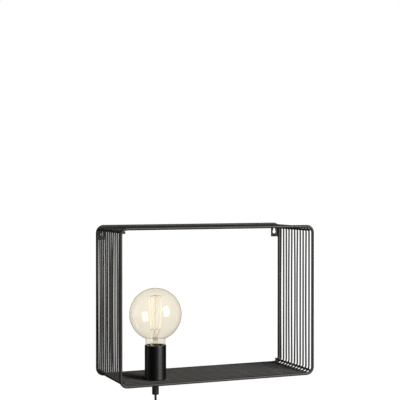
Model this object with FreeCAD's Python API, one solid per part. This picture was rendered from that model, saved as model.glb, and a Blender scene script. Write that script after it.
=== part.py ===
"""Wall lamp with a wire shelf: a deep rectangular basket of welded wire loops that hangs
on two keyhole tabs, with a lampholder and globe bulb on its shelf and a corded switch and plug.

Millimetres. +Z is up and +Y goes into the wall, whose face is Y = 0. The origin lies midway
between the round entries of the two keyholes.
"""
import FreeCAD, Part
import math
import os

V = FreeCAD.Vector
UP = V(0, 0, 1)
DOWN = V(0, 0, -1)
FORWARD = V(0, -1, 0)

# Wire frame
FRAME_WIDTH = 385.0
FRAME_HEIGHT = 283.0
FRAME_DEPTH = 146.0
EDGE_WIRE = 5.5
BAR_WIRE = 3.0
LOOP_GAPS = 12
CORNER_INNER_RADIUS = 9.5
CORNER_ROD = 4.0
ROD_INSET = 1.0
WELD_SINK = 0.3

# Keyhole tabs, welded into the upper corners of the back loop
KEYHOLE_SPACING = 360.0
KEYHOLE_BELOW_TOP = 18.2
KEYHOLE_ENTRY = 7.0
KEYHOLE_SLOT = 4.0
KEYHOLE_RISE = 7.0
TAB_THICKNESS = 1.5
TAB_HALF_WIDTH = 7.0
TAB_BELOW_ENTRY = 9.8
TAB_WELD_OVERLAP = 0.7

# Lampholder on the shelf: its axis stands midway between the 8th and 9th bar loops from the wall
HOLDER_X = -110.5
HOLDER_GAP_NUMBER = 8.5
CUP_DIAMETER = 39.0
CUP_HEIGHT = 62.0
CUP_WALL = 0.8
CUP_FLOOR = 1.5
NIPPLE_DIAMETER = 8.0
NIPPLE_BORE = 5.4
INSERT_DIAMETER = 35.8
INSERT_RIM = 52.0
INSERT_FLOOR = 3.0
INSERT_WEB = (20.0, 25.0)
SHELL_BORE = 26.9
SHELL_WALL = 0.5
SHELL_BELOW_RIM = 4.0
SLIDING_GAP = 0.15
TERMINAL_OFFSET = 8.0
TERMINAL_SIZE = (4.5, 5.0, 6.0)
TERMINAL_STEM = 2.0
TERMINAL_SCREW = 2.2
GRIP_DIAMETER = 12.5
GRIP_LENGTH = 25.0
GRIP_THREAD = 12.5
GRIP_EDGE = 1.2
GRIP_SCREW_BELOW_TOP = 18.0
GRIP_SCREW = 3.5
CORD_TOP = 10.0

# Globe bulb with a 27 mm Edison screw
GLOBE_DIAMETER = 95.0
GLOBE_ABOVE_RIM = 56.0
NECK_DIAMETER = 36.4
NECK_FILLET = 3.0
GLASS_WALL = 0.8
CAP_DIAMETER = 26.2
CAP_WALL = 0.4
CAP_TOP = 53.3
CAP_NARROWING = 0.5
CAP_BOTTOM = 33.0
CAP_TAPER = 1.6
BULB_TIP = 26.8
TIP_RADIUS = 4.8
TIP_RISE = 1.5
STEM_TUBE = 9.2
STEM_HEIGHT = 15.0
PINCH_SIZE = (9.6, 4.2, 8.4)
PINCH_ABOVE_CAP = 19.0
POST = 2.4
POST_KNOB = 4.0
LEAD_OFFSET = 3.0
CAGE_TOP = 151.0
CAGE_BOTTOM = 90.0
CAGE_TOP_RADIUS = 12.0
CAGE_BOTTOM_RADIUS = 9.0
CAGE_STRANDS = 10
CAGE_TURN_DEG = 300.0
FILAMENT = 0.8
HOOK_BEAD = 1.1
SUPPORT_WIRE = 0.7

# Mains cord
CORD = 4.2
COIL_MIDDLE_RADIUS = 24.0
COIL_PITCH = CORD + 0.6
COIL_LAYERS = 4
COIL_START_DEG = 50.0
COIL_TURNS = 10.0 + 250.0 / 360.0
COIL_BELOW_SWITCH = 69.0
TIE_WIDTH = 6.0
TIE_THICKNESS = 1.2
TIE_GAP = 0.3
TIE_EDGE = 2.0

# In-line rocker switch
SWITCH_BELOW_GRIP = 19.2
SWITCH_LENGTH = 52.0
SWITCH_WIDTH = 25.0
SWITCH_END_WIDTH = 11.0
SWITCH_HALF_DEPTH = 8.5
SWITCH_EDGE = 2.5
SWITCH_CORD_HOLD = 12.0
SWITCH_SCREW_HEIGHT = 17.5
SWITCH_SCREW = 2.5
SWITCH_SCREW_HEAD = 5.4
SWITCH_SCREW_SEAT = 2.6
SLOT_DEPTH = 0.8
ROCKER_HALF = (6.0, 9.3)
ROCKER_TILT = 7.0
ROCKER_PIVOT_INSET = 4.0
ROCKER_PIN = 2.5
ROCKER_PIN_REACH = 1.3
ROCKER_END_GAP = 0.9

# Two-pin plug
PIN_DIAMETER = 4.0
PIN_LENGTH = 19.0
PIN_SPACING = 18.6
PLUG_LENGTH = 36.0
PLUG_WIDTH = 35.3
PLUG_DEPTH = 13.7
PIN_TIP_RADIUS = 1.2
RELIEF_LENGTH = 20.0
RELIEF_DIAMETERS = (7.2, 8.6)
RELIEF_GROOVES = 4
GROOVE_PITCH = 3.6
GROOVE_WIDTH = 1.2
GROOVE_FLOOR_DIAMETER = 6.0

# Worked out from the sizes above
FRAME_TOP = KEYHOLE_BELOW_TOP
FRAME_MIDDLE = FRAME_TOP - FRAME_HEIGHT / 2
SHELF_TOP = FRAME_TOP - FRAME_HEIGHT + EDGE_WIRE
SHELF_UNDERSIDE = SHELF_TOP - BAR_WIRE
LOOP_PITCH = (FRAME_DEPTH - EDGE_WIRE) / LOOP_GAPS
HOLDER_Y = -(EDGE_WIRE / 2 + HOLDER_GAP_NUMBER * LOOP_PITCH)
CUP_RIM = CUP_HEIGHT
GLOBE_CENTRE = CUP_RIM + GLOBE_ABOVE_RIM
GRIP_BOTTOM = SHELF_UNDERSIDE - GRIP_LENGTH
SWITCH_TOP = GRIP_BOTTOM - SWITCH_BELOW_GRIP
SWITCH_MIDDLE = SWITCH_TOP - SWITCH_LENGTH / 2
SWITCH_BOTTOM = SWITCH_TOP - SWITCH_LENGTH
PLUG_TOP = 4 - RELIEF_LENGTH
COIL_CENTRE = V(HOLDER_X, HOLDER_Y, SWITCH_BOTTOM - COIL_BELOW_SWITCH)
COIL_SPREAD = COIL_TURNS / COIL_LAYERS * COIL_PITCH / 2
COIL_OUTER = COIL_MIDDLE_RADIUS + COIL_SPREAD
COIL_INNER = COIL_MIDDLE_RADIUS - COIL_SPREAD
COIL_HALF_STACK = (COIL_LAYERS - 1) * COIL_PITCH / 2


def line(a, b):
    return Part.LineSegment(a, b).toShape()


def arc(a, middle, b):
    return Part.Arc(a, middle, b).toShape()


def cylinder(diameter, start, end):
    """A round bar between two points."""
    along = end - start
    return Part.makeCylinder(diameter / 2, along.Length, start, along)


def tube(outer, bore, start, end):
    return cylinder(outer, start, end).cut(cylinder(bore, start, end))


def block(centre, size):
    """A box given by its centre and its sizes along X, Y and Z."""
    return Part.makeBox(size[0], size[1], size[2], centre - V(*size) * 0.5)


def outline(start, *steps):
    """A closed wire in the XZ plane from points (x, z). A step is a line's end point, or an
    arc's middle and end points; the last step returns to the start with a line."""
    edges = []
    here = V(start[0], 0, start[1])
    first = here
    for step in steps:
        if isinstance(step[0], tuple):
            middle, end = [V(x, 0, z) for x, z in step]
            edges.append(arc(here, middle, end))
        else:
            end = V(step[0], 0, step[1])
            edges.append(line(here, end))
        here = end
    if (here - first).Length > 1e-6:
        edges.append(line(here, first))
    return Part.Wire(edges)


def turned(profile):
    """Turns a profile of (radius, height) once round the lampholder's axis. Heights start
    at the foot of the cup, on the shelf."""
    face = Part.Face(profile)
    solid = face.revolve(V(0, 0, 0), UP, 360)
    solid.translate(V(HOLDER_X, HOLDER_Y, SHELF_TOP))
    return solid


def holder_point(x, y, height):
    return V(HOLDER_X + x, HOLDER_Y + y, SHELF_TOP + height)


def on_circle(centre, radius, angle_deg, middle_deg, end_deg):
    """Start, middle and end points (x, z) of an arc about a centre (x, z)."""
    return [
        (centre[0] + radius * math.cos(math.radians(a)), centre[1] + radius * math.sin(math.radians(a)))
        for a in (angle_deg, middle_deg, end_deg)
    ]


# The wire frame


def wire_loop(y, wire):
    """A rounded rectangle of round wire, standing at depth y. The inner faces of all the loops
    are flush, so a thinner wire's centre line lies further in."""
    half_width = FRAME_WIDTH / 2 - EDGE_WIRE + wire / 2
    half_height = FRAME_HEIGHT / 2 - EDGE_WIRE + wire / 2
    corner = CORNER_INNER_RADIUS + wire / 2
    flat_x, flat_z = half_width - corner, half_height - corner

    def at(x, z):
        return V(x, y, FRAME_MIDDLE + z)

    section = Part.Face(Part.Wire(Part.makeCircle(wire / 2, at(0, half_height), V(1, 0, 0))))
    level, upright = V(2 * flat_x, 0, 0), V(0, 0, 2 * flat_z)
    bar = section.extrude(V(flat_x, 0, 0)).fuse(section.extrude(V(-flat_x, 0, 0)))
    pieces = [bar.removeSplitter()]
    lower = Part.Face(Part.Wire(Part.makeCircle(wire / 2, at(-flat_x, -half_height), V(1, 0, 0))))
    pieces.append(lower.extrude(level))
    for sx in (-1, 1):
        foot = at(sx * half_width, -flat_z)
        side = Part.Face(Part.Wire(Part.makeCircle(wire / 2, foot, UP)))
        pieces.append(side.extrude(upright))
        for sz in (-1, 1):
            end = Part.Face(Part.Wire(Part.makeCircle(wire / 2, at(sx * half_width, sz * flat_z), UP)))
            pivot = at(sx * flat_x, sz * flat_z)
            pieces.append(end.revolve(pivot, V(0, -sx * sz, 0), 90))
    return pieces[0].fuse(pieces[1:])


def wire_loops():
    nodes = {}
    for number in range(LOOP_GAPS + 1):
        at_edge = number in (0, LOOP_GAPS)
        wire = EDGE_WIRE if at_edge else BAR_WIRE
        name = {0: "back_loop", LOOP_GAPS: "front_loop"}.get(number, f"wire_loop_{number:02d}")
        nodes[name] = wire_loop(-(EDGE_WIRE / 2 + number * LOOP_PITCH), wire)
    return nodes


def corner_rods():
    """Four rods along the depth, each nestled in a corner of the loops and welded to them."""
    reach = (CORNER_INNER_RADIUS - CORNER_ROD / 2 + WELD_SINK) * math.sqrt(0.5)
    corner_x = FRAME_WIDTH / 2 - EDGE_WIRE - CORNER_INNER_RADIUS
    corner_z = FRAME_HEIGHT / 2 - EDGE_WIRE - CORNER_INNER_RADIUS
    nodes = {}
    for level, sz in (("upper", 1), ("lower", -1)):
        for side, sx in (("left", -1), ("right", 1)):
            x = sx * (corner_x + reach)
            z = FRAME_MIDDLE + sz * (corner_z + reach)
            back = -TAB_THICKNESS if sz > 0 else -ROD_INSET
            rod = cylinder(CORNER_ROD, V(x, back, z), V(x, -FRAME_DEPTH + ROD_INSET, z))
            ends = [e for e in rod.Edges if abs(e.BoundBox.YLength) < 1e-6]
            nodes[f"{level}_{side}_rod"] = rod.makeChamfer(0.4, ends)
    return nodes


def keyhole_tab(side):
    """A flat tab in an upper corner of the back loop, side -1 for left or 1 for right. Its
    keyhole takes a screw's head through the round entry and holds its shank in the slot."""
    weld_side = TAB_HALF_WIDTH + TAB_WELD_OVERLAP
    weld_top = FRAME_TOP - EDGE_WIRE + TAB_WELD_OVERLAP
    round_off = CORNER_INNER_RADIUS - TAB_WELD_OVERLAP
    slant = round_off * (1 - math.sqrt(0.5))
    profile = outline(
        (-TAB_HALF_WIDTH, -TAB_BELOW_ENTRY),
        (weld_side, -TAB_BELOW_ENTRY),
        (weld_side, weld_top - round_off),
        ((weld_side - slant, weld_top - slant), (weld_side - round_off, weld_top)),
        (-TAB_HALF_WIDTH, weld_top),
    )
    plate = Part.Face(profile).extrude(V(0, -TAB_THICKNESS, 0))
    plate = plate.makeFillet(1.0, vertical_edges(plate, (-TAB_HALF_WIDTH, -TAB_BELOW_ENTRY)))
    through = V(0, -TAB_THICKNESS - 2, 0)
    entry = cylinder(KEYHOLE_ENTRY, V(0, 1, 0), through)
    slot_end = cylinder(KEYHOLE_SLOT, V(0, 1, KEYHOLE_RISE), through + V(0, 0, KEYHOLE_RISE))
    slot = block(V(0, 0, KEYHOLE_RISE / 2), (KEYHOLE_SLOT, 8, KEYHOLE_RISE))
    plate = plate.cut(entry.fuse([slot, slot_end]).removeSplitter())
    if side < 0:
        plate = plate.mirror(V(0, 0, 0), V(1, 0, 0))
    plate.translate(V(side * KEYHOLE_SPACING / 2, 0, 0))
    return plate


def vertical_edges(plate, corner):
    """The edges of a plate that run along Y at the corner (x, z)."""
    return [
        e
        for e in plate.Edges
        if e.BoundBox.YLength > 0.5 * plate.BoundBox.YLength
        and abs(e.CenterOfMass.x - corner[0]) < 0.01
        and abs(e.CenterOfMass.z - corner[1]) < 0.01
    ]


# The lampholder


def holder_cup():
    outer = CUP_DIAMETER / 2
    inner = outer - CUP_WALL
    hole = NIPPLE_DIAMETER / 2 + SLIDING_GAP
    foot = 1.0
    lip = CUP_WALL / 2
    slant = foot * math.sqrt(0.5)
    return turned(
        outline(
            (hole, 0),
            (outer - foot, 0),
            ((outer - foot + slant, foot - slant), (outer, foot)),
            (outer, CUP_RIM - lip),
            ((outer - lip, CUP_RIM), (inner, CUP_RIM - lip)),
            (inner, CUP_FLOOR),
            (hole, CUP_FLOOR),
        )
    )


def socket_insert():
    """The insulating body inside the cup: a wiring chamber below a web, and the bore that
    holds the screw shell above it."""
    outer = INSERT_DIAMETER / 2
    hole = NIPPLE_DIAMETER / 2 + SLIDING_GAP
    rivet_hole = 3.0
    edge = 1.0
    chamber = 12.0
    chamber_floor = CUP_FLOOR + INSERT_FLOOR
    bore = SHELL_BORE / 2 + SHELL_WALL + 0.05
    body = turned(
        outline(
            (hole, CUP_FLOOR),
            (outer, CUP_FLOOR),
            (outer, INSERT_RIM - edge),
            (outer - edge, INSERT_RIM),
            (bore, INSERT_RIM),
            (bore, INSERT_WEB[1]),
            (rivet_hole, INSERT_WEB[1]),
            (rivet_hole, INSERT_WEB[0]),
            (chamber, INSERT_WEB[0]),
            (chamber, chamber_floor),
            (hole, chamber_floor),
        )
    )
    for side in (-1, 1):
        low = holder_point(side * TERMINAL_OFFSET, 0, INSERT_WEB[0] - 1)
        high = holder_point(side * TERMINAL_OFFSET, 0, INSERT_WEB[1] + 1)
        body = body.cut(cylinder(TERMINAL_STEM + 0.2, low, high))
    return body


def screw_shell():
    """The brass shell that the bulb screws into, with an inward foot on the insert's web."""
    inner = SHELL_BORE / 2
    outer = inner + SHELL_WALL
    foot = INSERT_WEB[1]
    foot_radius = 10.5
    rim = INSERT_RIM - SHELL_BELOW_RIM
    return turned(
        outline(
            (foot_radius, foot),
            (outer, foot),
            (outer, rim),
            (inner, rim),
            (inner, foot + SHELL_WALL),
            (foot_radius, foot + SHELL_WALL),
        )
    )


def centre_contact():
    """A bent spring strip on the web whose raised middle meets the bulb's tip."""
    foot = INSERT_WEB[1]
    top = BULB_TIP - 0.3
    thick = 0.4
    width = 5.0
    strip = Part.Face(
        outline(
            (-7.5, foot),
            (-4.5, foot),
            (-2.0, top - thick),
            (3.5, top - thick),
            (3.5, top),
            (-2.2, top),
            (-4.7, foot + thick),
            (-7.5, foot + thick),
        )
    ).extrude(V(0, width, 0))
    strip.translate(holder_point(0, -width / 2, 0))
    return strip


def terminal_centre(side):
    return holder_point(side * TERMINAL_OFFSET, 0, INSERT_WEB[0] - TERMINAL_SIZE[2] / 2)


def terminal_blocks():
    """Two brass terminals under the web, each with a sideways hole for a wire's end."""
    half_height = V(0, 0, TERMINAL_SIZE[2] / 2)
    blocks = []
    for side in (-1, 1):
        centre = terminal_centre(side)
        body = block(centre, TERMINAL_SIZE)
        wire_hole = cylinder(2.0, centre + V(0, -4, -1), centre + V(0, 4, -1))
        screw_hole = cylinder(TERMINAL_SCREW + 0.1, centre, centre + V(side * 4, 0, 0))
        stem_top = centre + half_height + V(0, 0, INSERT_WEB[1] - INSERT_WEB[0])
        stem = cylinder(TERMINAL_STEM, centre + half_height, stem_top)
        blocks.append(body.cut(wire_hole).cut(screw_hole).fuse(stem))
    return Part.makeCompound(blocks)


def terminal_screws():
    screws = []
    for side in (-1, 1):
        centre = terminal_centre(side)
        start, end = centre + V(side * 1.2, 0, 0), centre + V(side * 3.4, 0, 0)
        screws.append(cylinder(TERMINAL_SCREW, start, end))
    return Part.makeCompound(screws)


def threaded_nipple():
    """The hollow threaded tube that clamps insert, cup and grip to the shelf wires."""
    in_grip, above_floor = 12.0, 4.5
    low = holder_point(0, 0, -BAR_WIRE - in_grip)
    high = holder_point(0, 0, CUP_FLOOR + INSERT_FLOOR + above_floor)
    return tube(NIPPLE_DIAMETER, NIPPLE_BORE, low, high)


def lock_nut():
    across_flats, height = 13.0, 3.0
    foot = CUP_FLOOR + INSERT_FLOOR
    radius = across_flats / math.sqrt(3)
    corners = []
    for k in range(7):
        angle = math.radians(60 * k)
        corners.append(holder_point(radius * math.cos(angle), radius * math.sin(angle), foot))
    nut = Part.Face(Part.makePolygon(corners)).extrude(V(0, 0, height))
    return nut.cut(cylinder(NIPPLE_DIAMETER + 0.1, holder_point(0, 0, 0), holder_point(0, 0, 10)))


def cord_grip():
    """The grip under the shelf: a plain sleeve with a rounded lower edge, screwed on the
    nipple, through which the cord leaves."""
    outer = GRIP_DIAMETER / 2
    top = -BAR_WIRE
    bottom = top - GRIP_LENGTH
    thread = NIPPLE_DIAMETER / 2 + 0.05
    exit_radius = CORD / 2 + 0.1
    slant = GRIP_EDGE * math.sqrt(0.5)
    edge_radius = outer - GRIP_EDGE
    edge_height = bottom + GRIP_EDGE
    sleeve = turned(
        outline(
            (thread, top),
            (outer, top),
            (outer, edge_height),
            ((edge_radius + slant, edge_height - slant), (edge_radius, bottom)),
            (exit_radius, bottom),
            (exit_radius, top - GRIP_THREAD),
            (thread, top - GRIP_THREAD),
        )
    )
    height = top - GRIP_SCREW_BELOW_TOP
    screw_hole = cylinder(GRIP_SCREW + 0.1, holder_point(0, 1, height), holder_point(0, 8, height))
    return sleeve.cut(screw_hole)


def grip_screw():
    """The slotted clamp screw in the grip's side that faces the wall."""
    height = -BAR_WIRE - GRIP_SCREW_BELOW_TOP
    slot_width = 0.7
    end = holder_point(0, GRIP_DIAMETER / 2 - 0.15, height)
    screw = cylinder(GRIP_SCREW, holder_point(0, CORD / 2 + 0.05, height), end)
    return screw.cut(block(end, (GRIP_SCREW + 1, 2 * SLOT_DEPTH, slot_width)))


def cord_in_grip():
    """The cord's own stretch inside the grip and the nipple, up to the wiring chamber."""
    return cylinder(CORD, holder_point(0, 0, -BAR_WIRE - GRIP_LENGTH), holder_point(0, 0, CORD_TOP))


def cord_cores():
    """The two insulated cores from the cord's end to the terminals."""
    cores = []
    for side in (-1, 1):
        foot = holder_point(side * 1.0, 0, CORD_TOP)
        bend = foot + V(0, 0, 3)
        end = bend + V(side * 4.2, 0, 3)
        path = Part.Wire([line(foot, bend), line(bend, end)])
        section = Part.Wire(Part.makeCircle(0.8, foot, UP))
        cores.append(path.makePipeShell([section], True, False, 2))
    return Part.makeCompound(cores)


# The bulb


def bulb_glass():
    """The globe's glass: a sphere that meets its neck in a small fillet, and the shoulder
    that narrows to the cap. One wall, hollow inside and open at the cap."""
    outer = glass_profile(0.0)
    inner = glass_profile(GLASS_WALL)
    return turned(outer).cut(turned(inner))


def glass_profile(inset):
    """Half the outline of the glass, offset inwards by inset."""
    globe = GLOBE_DIAMETER / 2 - inset
    neck = NECK_DIAMETER / 2 - inset
    fillet = NECK_FILLET + inset
    cap_mouth = CAP_DIAMETER / 2 - CAP_NARROWING - 0.1 - inset
    reach = globe + fillet
    centre_x = neck + fillet
    centre_h = GLOBE_CENTRE - math.sqrt(reach**2 - centre_x**2)
    slope = math.degrees(math.atan2(GLOBE_CENTRE - centre_h, -centre_x))
    fillet_arc = on_circle((centre_x, centre_h), fillet, 180, (180 + slope) / 2, slope)
    globe_arc = on_circle((0, GLOBE_CENTRE), globe, slope - 180, (slope - 180 + 90) / 2, 90)
    shoulder = (neck, CUP_RIM - 1.5)
    return outline(
        (0, CAP_TOP),
        (cap_mouth, CAP_TOP),
        ((neck - 1.4, CUP_RIM - 5.2), shoulder),
        fillet_arc[0],
        (fillet_arc[1], fillet_arc[2]),
        (globe_arc[1], (0, GLOBE_CENTRE + globe)),
    )


def bulb_cap():
    """The metal screw cap, drawn plain at its crest diameter, with its hollow inside."""
    crest = CAP_DIAMETER / 2
    collar = crest - CAP_NARROWING
    foot = crest - CAP_TAPER
    return turned(
        outline(
            (collar - CAP_WALL, CAP_TOP),
            (collar, CAP_TOP),
            (collar, CAP_TOP - 2.5),
            (crest, CAP_TOP - 3.5),
            (crest, CAP_BOTTOM + 1),
            (foot, CAP_BOTTOM),
            (foot - CAP_WALL, CAP_BOTTOM),
            (crest - CAP_WALL, CAP_BOTTOM + 1.3),
            (crest - CAP_WALL, CAP_TOP - 3.9),
            (collar - CAP_WALL, CAP_TOP - 3.1),
        )
    )


def cap_insulator():
    rim = CAP_DIAMETER / 2 - CAP_TAPER
    seat = BULB_TIP + TIP_RISE + 0.1
    return turned(
        outline(
            (0, CAP_BOTTOM),
            (rim, CAP_BOTTOM),
            ((rim - 2.0, CAP_BOTTOM - 2.6), (TIP_RADIUS + 0.2, seat)),
            (0, seat),
        )
    )


def tip_contact():
    """The bulb's tip: a shallow cap of a sphere."""
    radius = (TIP_RADIUS**2 + TIP_RISE**2) / (2 * TIP_RISE)
    edge_deg = math.degrees(math.asin(TIP_RADIUS / radius))
    half_way = on_circle((0, BULB_TIP + radius), radius, 0, edge_deg / 2 - 90, -90)[1]
    return turned(
        outline(
            (0, BULB_TIP + TIP_RISE),
            (TIP_RADIUS, BULB_TIP + TIP_RISE),
            (half_way, (0, BULB_TIP)),
        )
    )


def bulb_stem():
    """The glass mount inside the neck: a flare on the cap's mouth, a tube, the flattened
    pinch that holds the wires, and the thin post that carries the cage's top."""
    mouth = CAP_DIAMETER / 2 - CAP_NARROWING - 0.1 - GLASS_WALL
    tube_radius = STEM_TUBE / 2
    foot, flare_top, tube_top = CAP_TOP - 1.0, CAP_TOP + 9.0, CAP_TOP + STEM_HEIGHT
    flare = turned(
        outline(
            (0, foot),
            (mouth, foot),
            (mouth, CAP_TOP + 0.4),
            ((tube_radius + 2.0, CAP_TOP + 2.8), (tube_radius, flare_top)),
            (tube_radius, tube_top),
            (0, tube_top),
        )
    )
    pinch = block(holder_point(0, 0, CAP_TOP + PINCH_ABOVE_CAP), PINCH_SIZE)
    upright = [e for e in pinch.Edges if e.BoundBox.ZLength > PINCH_SIZE[2] - 0.1]
    pinch = pinch.makeFillet(1.2, upright)
    post_foot = holder_point(0, 0, CAP_TOP + PINCH_ABOVE_CAP + 3.0)
    post = cylinder(POST, post_foot, holder_point(0, 0, CAGE_TOP))
    knob = Part.makeSphere(POST_KNOB / 2, holder_point(0, 0, CAGE_TOP))
    return flare.fuse([pinch, post, knob])


def cage_hook(number):
    """The hooks in the filament's order, lower and upper in turn, in even steps round the post.
    The filament starts and ends at a lower hook, with an open step between the two."""
    angle = math.radians(CAGE_TURN_DEG + number * 360 / (CAGE_STRANDS + 2))
    lower = number % 2 == 0
    radius = CAGE_BOTTOM_RADIUS if lower else CAGE_TOP_RADIUS
    height = CAGE_BOTTOM if lower else CAGE_TOP
    return holder_point(radius * math.cos(angle), radius * math.sin(angle), height)


def filament():
    """The filament's strands, joined by a bead at each hook."""
    points = [cage_hook(k) for k in range(CAGE_STRANDS + 1)]
    strands = [cylinder(FILAMENT, a, b) for a, b in zip(points, points[1:])]
    beads = [Part.makeSphere(HOOK_BEAD / 2, p) for p in points]
    return strands[0].fuse(strands[1:] + beads)


def cage_supports():
    """Fine wires that spread like spokes from the post to every hook between the filament's
    two ends. Each meets its hook's bead."""
    wires = []
    for number in range(1, CAGE_STRANDS):
        hook = cage_hook(number)
        hub = V(HOLDER_X, HOLDER_Y, hook.z)
        outward = (hook - hub).normalize()
        start = hub + outward * (POST / 4)
        wires.append(cylinder(SUPPORT_WIRE, start, hook - outward * (HOOK_BEAD / 2)))
    return Part.makeCompound(wires)


def lead_wires():
    """The two stiff wires that stand in the pinch and carry the filament's two ends."""
    leads = []
    for side, number in ((1, 0), (-1, CAGE_STRANDS)):
        foot = holder_point(side * LEAD_OFFSET, 0, CAP_TOP + PINCH_ABOVE_CAP + 1.0)
        hook = cage_hook(number)
        along = (hook - foot).normalize()
        leads.append(cylinder(SUPPORT_WIRE, foot, hook - along * (HOOK_BEAD / 2)))
    return Part.makeCompound(leads)


# The cord, its coil and its tie


def coil_radius(turns):
    """Distance of the cord's middle from the coil's axis after so many turns: it spirals in
    over one layer and out over the next, always at one pitch a turn."""
    per_layer = COIL_TURNS / COIL_LAYERS
    layer, into = divmod(turns, per_layer)
    if layer >= COIL_LAYERS:
        layer, into = COIL_LAYERS - 1, per_layer
    inward = int(layer) % 2 == 0
    return (COIL_OUTER - into * COIL_PITCH) if inward else (COIL_INNER + into * COIL_PITCH)


def coil_height(turns):
    """How many layers the cord has climbed: one in the half turn about each reversal."""
    per_layer = COIL_TURNS / COIL_LAYERS
    climbed = 0.0
    for reversal in range(1, COIL_LAYERS):
        part = (turns - reversal * per_layer + 0.25) / 0.5
        part = min(1.0, max(0.0, part))
        climbed += (1 - math.cos(math.pi * part)) / 2
    return climbed


def coil_point(turns):
    """The cord's middle after so many turns. The layers are stacked from the wall side."""
    angle = math.radians(COIL_START_DEG + 360 * turns)
    radius = coil_radius(turns)
    y = COIL_HALF_STACK - coil_height(turns) * COIL_PITCH
    return COIL_CENTRE + V(radius * math.sin(angle), y, radius * math.cos(angle))


def coil_direction(turns):
    step = 1e-4
    low = max(0.0, turns - step)
    high = min(COIL_TURNS, turns + step)
    return (coil_point(high) - coil_point(low)).normalize()


def coil_stations():
    """Where the coil's arcs meet: a quarter turn before and after each reversal, at the
    reversal itself, and in even steps of about a third of a turn between."""
    per_layer = COIL_TURNS / COIL_LAYERS
    stretch = per_layer - 0.5
    steps = round(stretch / 0.36)
    stations = [0.0]
    for layer in range(COIL_LAYERS):
        start = layer * per_layer
        stations += [start + 0.25 + stretch * k / steps for k in range(steps + 1)]
        stations.append(start + per_layer)
    return stations


def biarc(start, heading, end, end_heading):
    """Two arcs that leave start along heading and reach end along end_heading."""
    chord = end - start
    both = heading + end_heading
    spread = 2 * (1 - heading.dot(end_heading))
    reach = chord.dot(both)
    step = (-reach + math.sqrt(reach**2 + spread * chord.dot(chord))) / spread
    joint = (start + end + (heading - end_heading) * step) * 0.5
    back = tangent_arc(end, end_heading * -1, joint)
    return [tangent_arc(start, heading, joint), reversed_arc(back)]


def tangent_arc(start, heading, end):
    """The arc from start to end that leaves start along heading."""
    chord = end - start
    normal = heading.cross(chord).cross(heading).normalize()
    radius = chord.dot(chord) / (2 * chord.dot(normal))
    centre = start + normal * radius
    outward = (start - centre + end - centre).normalize()
    return arc(start, centre + outward * radius, end)


def reversed_arc(edge):
    """The same arc, run from its last point to its first."""
    first, last = edge.FirstParameter, edge.LastParameter
    middle = edge.valueAt((first + last) / 2)
    return arc(edge.valueAt(last), middle, edge.valueAt(first))


def cord_coil():
    """The put-away length, wound in layers as one unbroken tube with straight ends."""
    stations = coil_stations()
    edges = []
    lead_in = coil_point(0) - coil_direction(0) * CORD
    lead_out = coil_point(COIL_TURNS) + coil_direction(COIL_TURNS) * CORD
    edges.append(line(lead_in, coil_point(0)))
    for here, there in zip(stations, stations[1:]):
        edges += biarc(coil_point(here), coil_direction(here), coil_point(there), coil_direction(there))
    edges.append(line(coil_point(COIL_TURNS), lead_out))
    path = Part.Wire(edges)
    section = Part.Wire(Part.makeCircle(CORD / 2, lead_in, coil_direction(0)))
    print("coil: length", round(path.Length, 1), "mm, least gap", round(least_gap(), 2), "mm")
    return path.makePipeShell([section], True, False)


def least_gap():
    """The least distance between two stretches of the coil, less the cord's diameter."""
    per_turn = 48
    count = int(COIL_TURNS * per_turn)
    points = [coil_point(COIL_TURNS * k / count) for k in range(count + 1)]
    least = 1e9
    for i, a in enumerate(points):
        for b in points[i + per_turn // 2 :]:
            least = min(least, (a - b).Length)
    return least - CORD


def coil_tie():
    """A flat band round the bundle of turns at the bottom of the coil."""
    low = COIL_INNER - CORD / 2 - TIE_GAP
    high = COIL_OUTER + CORD / 2 + TIE_GAP
    half = COIL_HALF_STACK + CORD / 2 + TIE_GAP
    middle = COIL_CENTRE - V(0, 0, (low + high) / 2)
    inner = block(middle, (TIE_WIDTH + 2, 2 * half, high - low))
    walls = 2 * TIE_THICKNESS
    outer = block(middle, (TIE_WIDTH, 2 * half + walls, high - low + walls))
    long_edges = [e for e in outer.Edges if e.BoundBox.XLength > TIE_WIDTH - 0.1]
    return outer.makeFillet(TIE_EDGE, long_edges).cut(inner)


def rounded_tube(points, name):
    """A round tube along straight runs joined by arcs as large as the runs allow."""
    edges = []
    here = points[0]
    radii = []
    for before, corner, after in zip(points, points[1:], points[2:]):
        into = (corner - before).normalize()
        out = (after - corner).normalize()
        turn = into.getAngle(out)
        shorter = min((corner - before).Length, (after - corner).Length)
        cut = 0.45 * shorter
        radius = cut / math.tan(turn / 2)
        radii.append(round(radius, 1))
        start, end = corner - into * cut, corner + out * cut
        edges += [line(here, start), tangent_arc(start, into, end)]
        here = end
    edges.append(line(here, points[-1]))
    path = Part.Wire(edges)
    section = Part.Wire(Part.makeCircle(CORD / 2, points[0], points[1] - points[0]))
    solid = path.makePipeShell([section], True, False)
    print(name, "radii", radii, "length", round(path.Length, 1))
    return solid


def lead_route():
    """From the switch's lower end to the coil's first turn, on the wall side."""
    heading = coil_direction(0)
    end = coil_point(0) - heading * CORD
    start = V(HOLDER_X, HOLDER_Y, SWITCH_BOTTOM)
    return [start, start + V(0, 0, -14), end - heading * 16, end]


def tail_route():
    """From the coil's last turn up over the front of the ring and down to the plug."""
    heading = coil_direction(COIL_TURNS)
    start = coil_point(COIL_TURNS) + heading * CORD
    points = [start, start + heading * 17.4]
    for step in ((16.2, -3.2, 6.6), (15.3, -3.6, -4.3), (10.4, -2.8, -13.4), (0.0, 0.0, -16.6)):
        points.append(points[-1] + V(*step))
    return points


# The in-line switch


def switch_outline():
    """The switch seen from the front: widest at its middle and narrow at the cord's ends."""
    half = SWITCH_LENGTH / 2
    end = SWITCH_END_WIDTH / 2
    side = SWITCH_WIDTH / 2
    return outline(
        (-end, half),
        (end, half),
        ((side, 0), (end, -half)),
        (-end, -half),
        ((-side, 0), (-end, half)),
    )


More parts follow.
